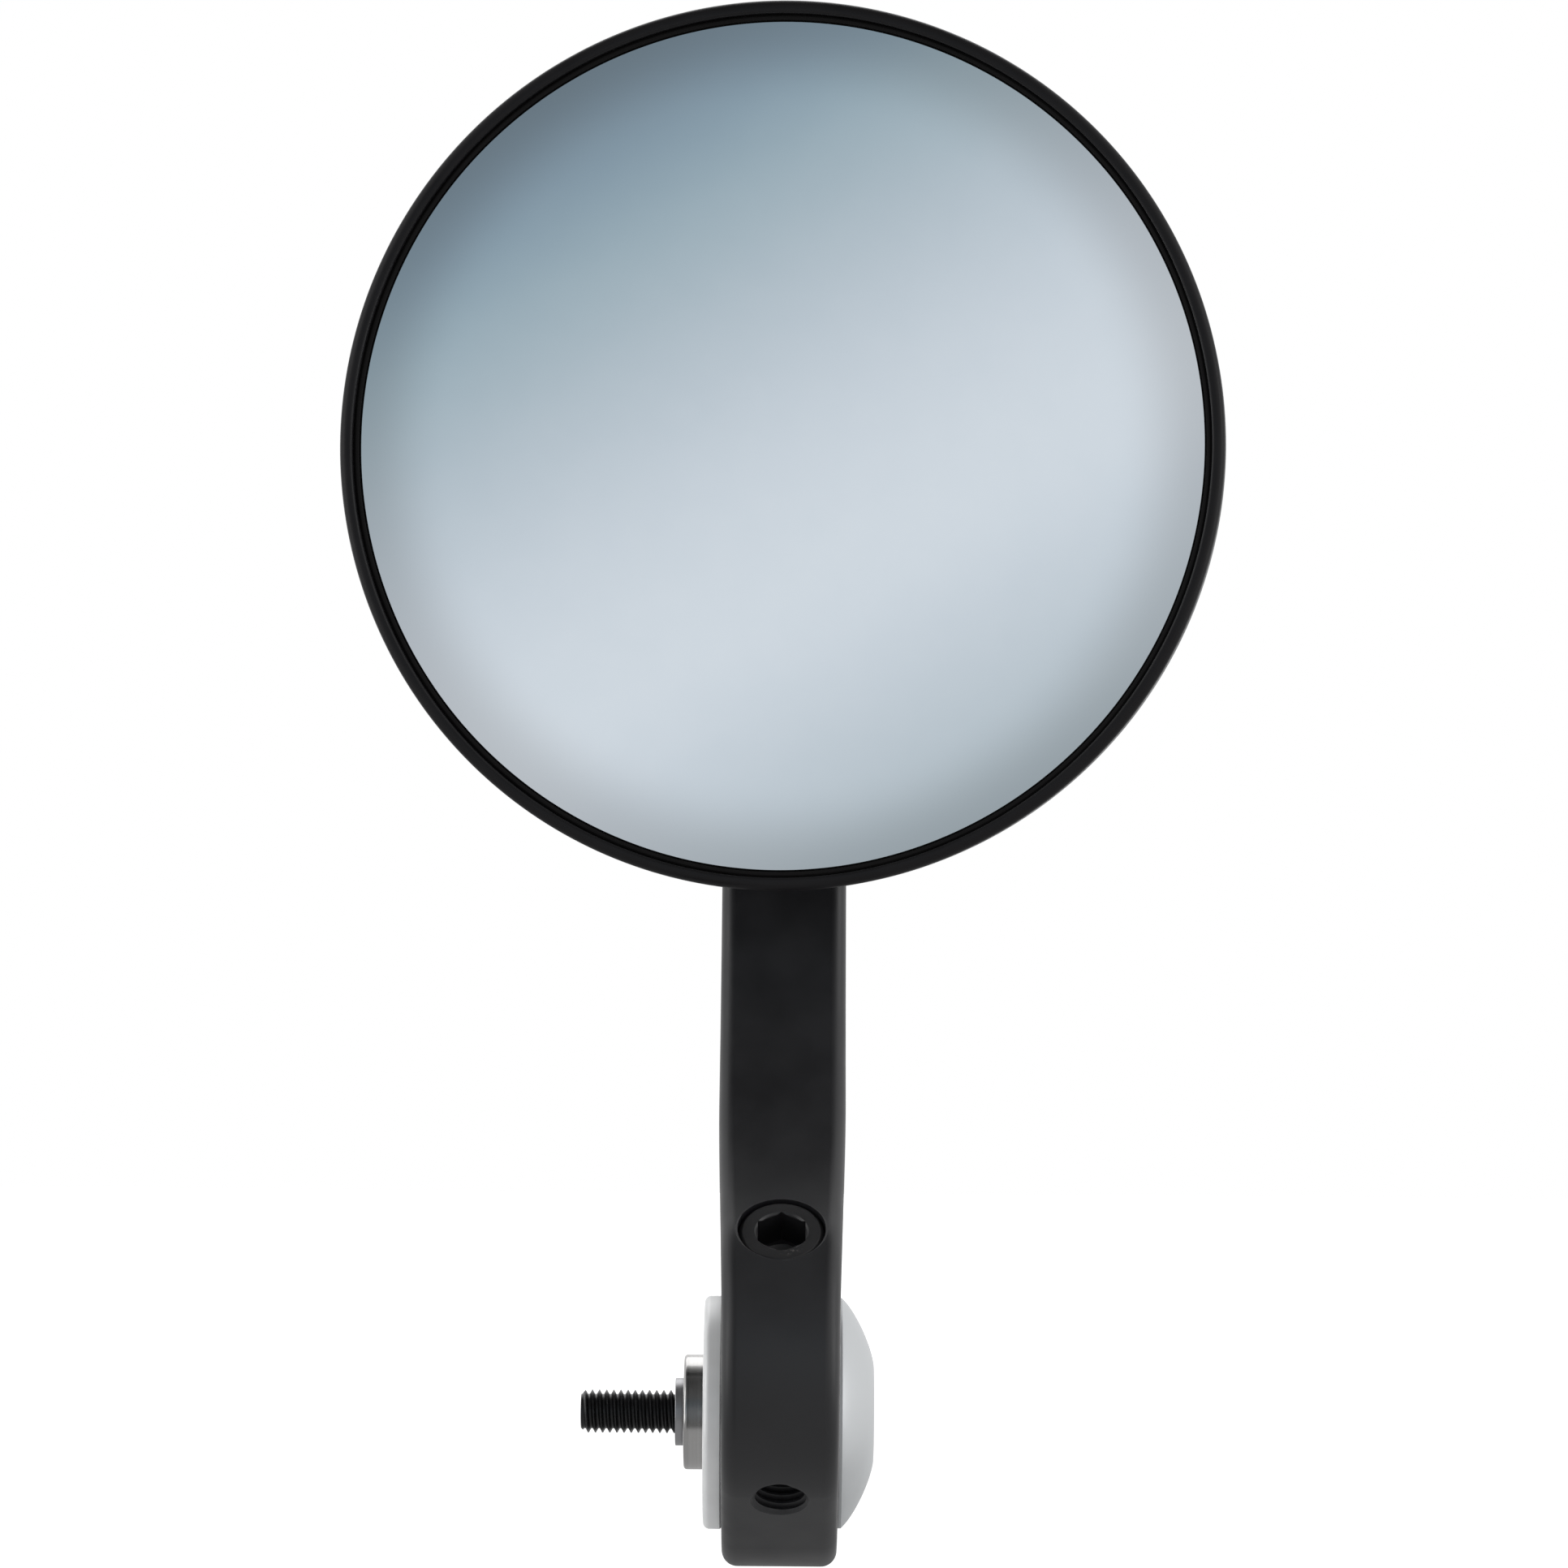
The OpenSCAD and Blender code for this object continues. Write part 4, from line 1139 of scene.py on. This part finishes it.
def emptied(material):
    """The node tree of a new material, with nothing in it."""
    material.use_nodes = True
    material.node_tree.nodes.clear()
    return material.node_tree


def stage_panel(name, width, height, place, material):
    """A flat panel that stands in its own X and Y, and isn't part of the object."""
    shape = bmesh.new()
    corners = [(-1, -1), (1, -1), (1, 1), (-1, 1)]
    shape.faces.new([shape.verts.new((x * width / 2, y * height / 2, 0)) for x, y in corners])
    panel = new_piece(name, shape, place)
    panel.data.materials.append(material)
    return panel


def seen_directly(tree):
    """1 for rays that come from the camera, from metal or from glass."""
    path = tree.nodes.new("ShaderNodeLightPath")
    glossy = add(tree, "ShaderNodeMath", {0: path.outputs["Is Camera Ray"], 1: path.outputs["Is Glossy Ray"]},
                 operation="MAXIMUM")
    total = add(tree, "ShaderNodeMath", {0: glossy.outputs[0], 1: path.outputs["Is Transmission Ray"]},
                operation="MAXIMUM")
    return total.outputs[0]


def grey(tone):
    return (tone, tone, tone, 1)


# %% [markdown]
# The floor lies just below the head when the arm hangs straight down. It has a matt paint that takes
# shadows, and a glow on top that only the camera, metal and glass see. The glow grows towards the
# horizon, so that a mirror shows no hard line there.

# %% Floor

floor_z = -215.0
floor_light = 0.58
far_light = 0.95
fade_near_m = 0.5
fade_far_m = 2.9
floor_paint = bpy.data.materials.new("pale_floor")
floor_tree = emptied(floor_paint)
floor_out = add(floor_tree, "ShaderNodeOutputMaterial")
matt = add(floor_tree, "ShaderNodeBsdfDiffuse", values={"Color": grey(0.72)})
glow = add(floor_tree, "ShaderNodeEmission", {"Strength": seen_directly(floor_tree)})
floor_place = add(floor_tree, "ShaderNodeTexCoord")
afar = distance_mask(floor_tree, floor_place.outputs["Object"], fade_near_m, fade_far_m)
floor_colour = blend_colours(floor_tree, afar, (floor_light,) * 3, (far_light,) * 3)
floor_tree.links.new(floor_colour, glow.inputs["Color"])
both = add(floor_tree, "ShaderNodeAddShader", {0: matt.outputs[0], 1: glow.outputs[0]})
floor_tree.links.new(both.outputs[0], floor_out.inputs["Surface"])
stage_panel("floor", 6000, 6000, at_mm(0, 0, floor_z), floor_paint)
print("floor", -floor_z, "mm below the bar's axis")

# %% [markdown]
# The world is a plain white tent. The camera, metal and glass see it at full strength, and it
# lights the object less strongly than that, so that pale pieces keep their tone.

# %% Tent

ambient = 0.62
world = bpy.data.worlds.new("tent")
world.use_nodes = True
bpy.context.scene.world = world
world_tree = world.node_tree
background = world_tree.nodes["Background"]
level = add(world_tree, "ShaderNodeMapRange", {"Value": seen_directly(world_tree)},
            {"To Min": ambient, "To Max": 1.0})
world_tree.links.new(level.outputs[0], background.inputs["Strength"])
background.inputs["Color"].default_value = grey(1.0)
print("the tent lights the object at", ambient)

# %% [markdown]
# The cards and panels are seen only in reflections. Each glows with a colour of its own, whatever
# the light. Where another view could show a card's edge in the glass, the edge is soft: the card
# fades to clear between two distances from its middle.

# %% Helpers for cards and panels


def hide_from_camera(panel):
    """Leaves the panel to be seen in reflections only."""
    panel.visible_camera = False
    panel.visible_shadow = False
    panel.visible_diffuse = False


def feather(tree, shader, full_m, gone_m):
    """The shader, fading to clear between two distances from the panel's middle."""
    where = add(tree, "ShaderNodeTexCoord")
    edge = distance_mask(tree, where.outputs["Object"], full_m, gone_m)
    clear = add(tree, "ShaderNodeBsdfTransparent")
    return add(tree, "ShaderNodeMixShader", {0: edge, 1: shader.outputs[0], 2: clear.outputs[0]})


def ramp(tree, factor, stops):
    """A soft run of colours, from pairs of a position and a colour."""
    node = add(tree, "ShaderNodeValToRGB", {"Fac": factor})
    node.color_ramp.interpolation = "B_SPLINE"
    while len(node.color_ramp.elements) < len(stops):
        node.color_ramp.elements.new(0.5)
    for element, (position, colour) in zip(node.color_ramp.elements, stops):
        element.position = position
        element.color = (*colour, 1)
    return node.outputs["Color"]


def flat_paint(name, tone, full_m=None, gone_m=None):
    """A material of one tone, with soft edges if two distances are given."""
    material = bpy.data.materials.new(name)
    tree = emptied(material)
    out = add(tree, "ShaderNodeOutputMaterial")
    shine = add(tree, "ShaderNodeEmission", values={"Color": grey(tone)})
    shown = shine if full_m is None else feather(tree, shine, full_m, gone_m)
    tree.links.new(shown.outputs[0], out.inputs["Surface"])
    return material


# %% [markdown]
# From the front the glass mirrors a small window of the room behind the camera. The painted card
# stands there, with the slanting pale band and the blue grey corner that the picture shows in the
# glass. Its colours run along a slanting line across it.

# %% Paint of the card

card_slant = 0.57
card_reach_m = 0.40
card_full_m = 0.61
card_gone_m = 0.80
band_colours = [(0.0, (0.42, 0.48, 0.52)), (0.10, (0.53, 0.58, 0.62)), (0.24, (0.66, 0.70, 0.75)),
                (0.35, (0.75, 0.78, 0.82)), (0.52, (0.65, 0.69, 0.74)), (0.66, (0.50, 0.56, 0.61)),
                (0.78, (0.37, 0.46, 0.51)), (0.88, (0.25, 0.33, 0.40)), (1.0, (0.19, 0.24, 0.28))]

card_paint = bpy.data.materials.new("painted_card")
card_tree = emptied(card_paint)
card_out = add(card_tree, "ShaderNodeOutputMaterial")
card_place = add(card_tree, "ShaderNodeTexCoord")
card_split = add(card_tree, "ShaderNodeSeparateXYZ", {0: card_place.outputs["Object"]})
slant = add(card_tree, "ShaderNodeMath", {0: card_split.outputs[0], 2: card_split.outputs[1]},
            {1: card_slant}, operation="MULTIPLY_ADD")
along = add(card_tree, "ShaderNodeMapRange", {"Value": slant.outputs[0]},
            {"From Min": -card_reach_m, "From Max": card_reach_m})
card_colour = ramp(card_tree, along.outputs[0], band_colours)
card_glow = add(card_tree, "ShaderNodeEmission", {"Color": card_colour})
card_soft = feather(card_tree, card_glow, card_full_m, card_gone_m)
card_tree.links.new(card_soft.outputs[0], card_out.inputs["Surface"])
print("the card's paint has", len(band_colours), "colours")

# %% [markdown]
# The head looks a few degrees to one side, so the card stands twice as far round on that side, and
# a little higher than the head. It is turned to face the middle of the head.

# %% Painted card

card_distance = 1500.0
card_turn = math.radians(12)
card_rise = 100.0


def facing_part(x, y, z):
    """A place whose +Z looks at the middle of the head, with its X level."""
    spot = Vector((x, y, z)) * MM
    towards = (ball * MM - spot).normalized()
    across = Vector((0, 0, 1)).cross(towards).normalized()
    up = towards.cross(across)
    turn = Matrix((across, up, towards)).transposed().to_4x4()
    return Matrix.Translation(spot) @ turn


card_x = ball.x - card_distance * math.sin(card_turn)
card_y = -card_distance * math.cos(card_turn)
card = stage_panel("painted_card", 1600, 1600, facing_part(card_x, card_y, ball.z + card_rise), card_paint)
hide_from_camera(card)
print("painted card at", round(card_x), round(card_y), "mm")

# %% [markdown]
# A flat panel would mirror as a patch with corners. A bent one keeps the same distance all the way
# over the part, so its tones can follow the height from which they are seen.

# %% Helper for bent panels


def bent_panel(name, radius, width, low, high, centre, material, steps=48):
    """A panel bent round a level axis, between two elevations in front of its centre."""
    shape = bmesh.new()
    rows = []
    for i in range(steps + 1):
        rise = math.radians(low + (high - low) * i / steps)
        y = -radius * math.cos(rise)
        z = radius * math.sin(rise)
        rows.append([shape.verts.new((x, y, z)) for x in (-width / 2, width / 2)])
    for below, above in zip(rows, rows[1:]):
        shape.faces.new((below[0], below[1], above[1], above[0]))
    panel = new_piece(name, shape, centre)
    panel.data.materials.append(material)
    hide_from_camera(panel)
    return panel


# %% [markdown]
# The shade panel bends over the part from below the horizon in front to behind the zenith. It is
# dark above, and grows paler downwards in front and at its end behind. So each slope of the arm
# mirrors its own tone: the neck, which looks up, stays nearly black, and the nose, which looks
# ahead, is lighter. Towards its sides the panel fades to the white of the tent, which leaves a paler
# line along both rounds of the arm.

# %% Shade panel

shade_low = -14.0
shade_high = 112.0
shade_r = 1900.0
shade_w = 2900.0
shade_aside = 300.0
side_from_m = 0.75
side_to_m = 1.45
shade_tones = [(0.0, 1.0), (0.07, 0.80), (0.15, 0.55), (0.30, 0.36), (0.52, 0.20), (0.76, 0.10), (0.92, 0.10),
               (1.0, 0.70)]

shade_paint = bpy.data.materials.new("shade_panel")
shade_tree = emptied(shade_paint)
shade_out = add(shade_tree, "ShaderNodeOutputMaterial")
shade_place = add(shade_tree, "ShaderNodeTexCoord")
shade_split = add(shade_tree, "ShaderNodeSeparateXYZ", {0: shade_place.outputs["Object"]})
ahead = add(shade_tree, "ShaderNodeMath", {0: shade_split.outputs[1]}, {1: -1.0}, operation="MULTIPLY")
elevation = add(shade_tree, "ShaderNodeMath", {0: shade_split.outputs[2], 1: ahead.outputs[0]},
                operation="ARCTAN2")
share = add(shade_tree, "ShaderNodeMapRange", {"Value": elevation.outputs[0]},
            {"From Min": math.radians(shade_low), "From Max": math.radians(shade_high)})
shade_tone = ramp(shade_tree, share.outputs[0], [(position, (tone,) * 3) for position, tone in shade_tones])
sideways = add(shade_tree, "ShaderNodeMath", {0: shade_split.outputs[0]}, operation="ABSOLUTE")
at_side = add(shade_tree, "ShaderNodeMapRange", {"Value": sideways.outputs[0]},
              {"From Min": side_from_m, "From Max": side_to_m}, interpolation_type="SMOOTHSTEP")
shade_colour = blend_colours(shade_tree, at_side.outputs[0], shade_tone, (1.0, 1.0, 1.0))
shade_glow = add(shade_tree, "ShaderNodeEmission", {"Color": shade_colour})
shade_tree.links.new(shade_glow.outputs[0], shade_out.inputs["Surface"])
shade_centre = at_mm(arm_mid - shade_aside, 0, 20)
bent_panel("shade_panel", shade_r, shade_w, shade_low, shade_high, shade_centre, shade_paint)
print("shade panel from", shade_low, "to", shade_high, "degrees")

# %% [markdown]
# Two small helpers finish the reflections. A black strip close to the spigot puts the dark band on
# its upper half, as the picture shows, and a grey card on the floor keeps the undersides from
# mirroring pure white.

# %% Black strip and grey card

strip_x = -6.6
strip_w = 10.6
strip_r = 62.0
strip_low = -24
strip_high = 74
strip_paint = flat_paint("black_strip", 0.05)
bent_panel("black_strip", strip_r, strip_w, strip_low, strip_high, at_mm(strip_x, 0, 0), strip_paint)
grey_paint = flat_paint("grey_card", 0.52, full_m=0.8, gone_m=1.8)
grey_card = stage_panel("grey_card", 4000, 4000, at_mm(0, -400, floor_z + 2), grey_paint)
hide_from_camera(grey_card)
print("black strip", strip_w, "mm wide, grey card on the floor")

# %% [markdown]
# Three soft lamps do the rest. One large lamp hangs above and behind, and draws the bright line
# along the upper edges. Two tall ones stand at the sides and light the rounds along the arm.

# %% Lamps

lamp_target_z = 70.0


def soft_lamp(name, x, y, z, width, height, power):
    """A large rectangular lamp that looks at the middle of the arm."""
    data = bpy.data.lights.new(name, "AREA")
    data.shape = "RECTANGLE"
    data.size = width * MM
    data.size_y = height * MM
    data.energy = power
    lamp = bpy.data.objects.new(name, data)
    bpy.context.scene.collection.objects.link(lamp)
    spot = Vector((x, y, z)) * MM
    aim = (spot - Vector((arm_mid, 0, lamp_target_z)) * MM).to_track_quat("Z", "Y")
    lamp.matrix_world = Matrix.Translation(spot) @ aim.to_matrix().to_4x4()
    return lamp


soft_lamp("overhead_lamp", 0, 700, 800, width=900, height=700, power=2.5)
soft_lamp("left_lamp", -900, -250, 200, width=300, height=900, power=1.6)
soft_lamp("right_lamp", 900, -250, 200, width=300, height=900, power=1.6)

# %% [markdown]
# ## The camera
# The camera stands 70 cm in front, level with the upper arm, with a long lens. That gives the
# picture's perspective. Its focal length is known in pixels of a frame 1932 pixels wide, and the
# part leans a little in that frame, which is the small roll here.

# %% Camera

camera_x = arm_mid - 0.15
camera_y = -700.0
camera_z = 88.0
frame_px = 1932
focal_px = 6160
roll = 0.45
camera_data = bpy.data.cameras.new("camera")
camera_data.sensor_width = 36
camera_data.lens = camera_data.sensor_width * focal_px / frame_px
camera_data.clip_start = 0.05
camera_data.clip_end = 50
camera = bpy.data.objects.new("camera", camera_data)
bpy.context.scene.collection.objects.link(camera)
level_view = Matrix.Rotation(math.radians(90), 4, "X")
leaning = Matrix.Rotation(math.radians(roll), 4, "Z")
camera.matrix_world = at_mm(camera_x, camera_y, camera_z) @ level_view @ leaning
bpy.context.scene.camera = camera
bpy.context.scene.view_settings.view_transform = "Standard"
print("lens", round(camera_data.lens, 1), "mm")

# %% [markdown]
# Last, the script brings the scene up to date.

# %% Finish

bpy.context.view_layer.update()
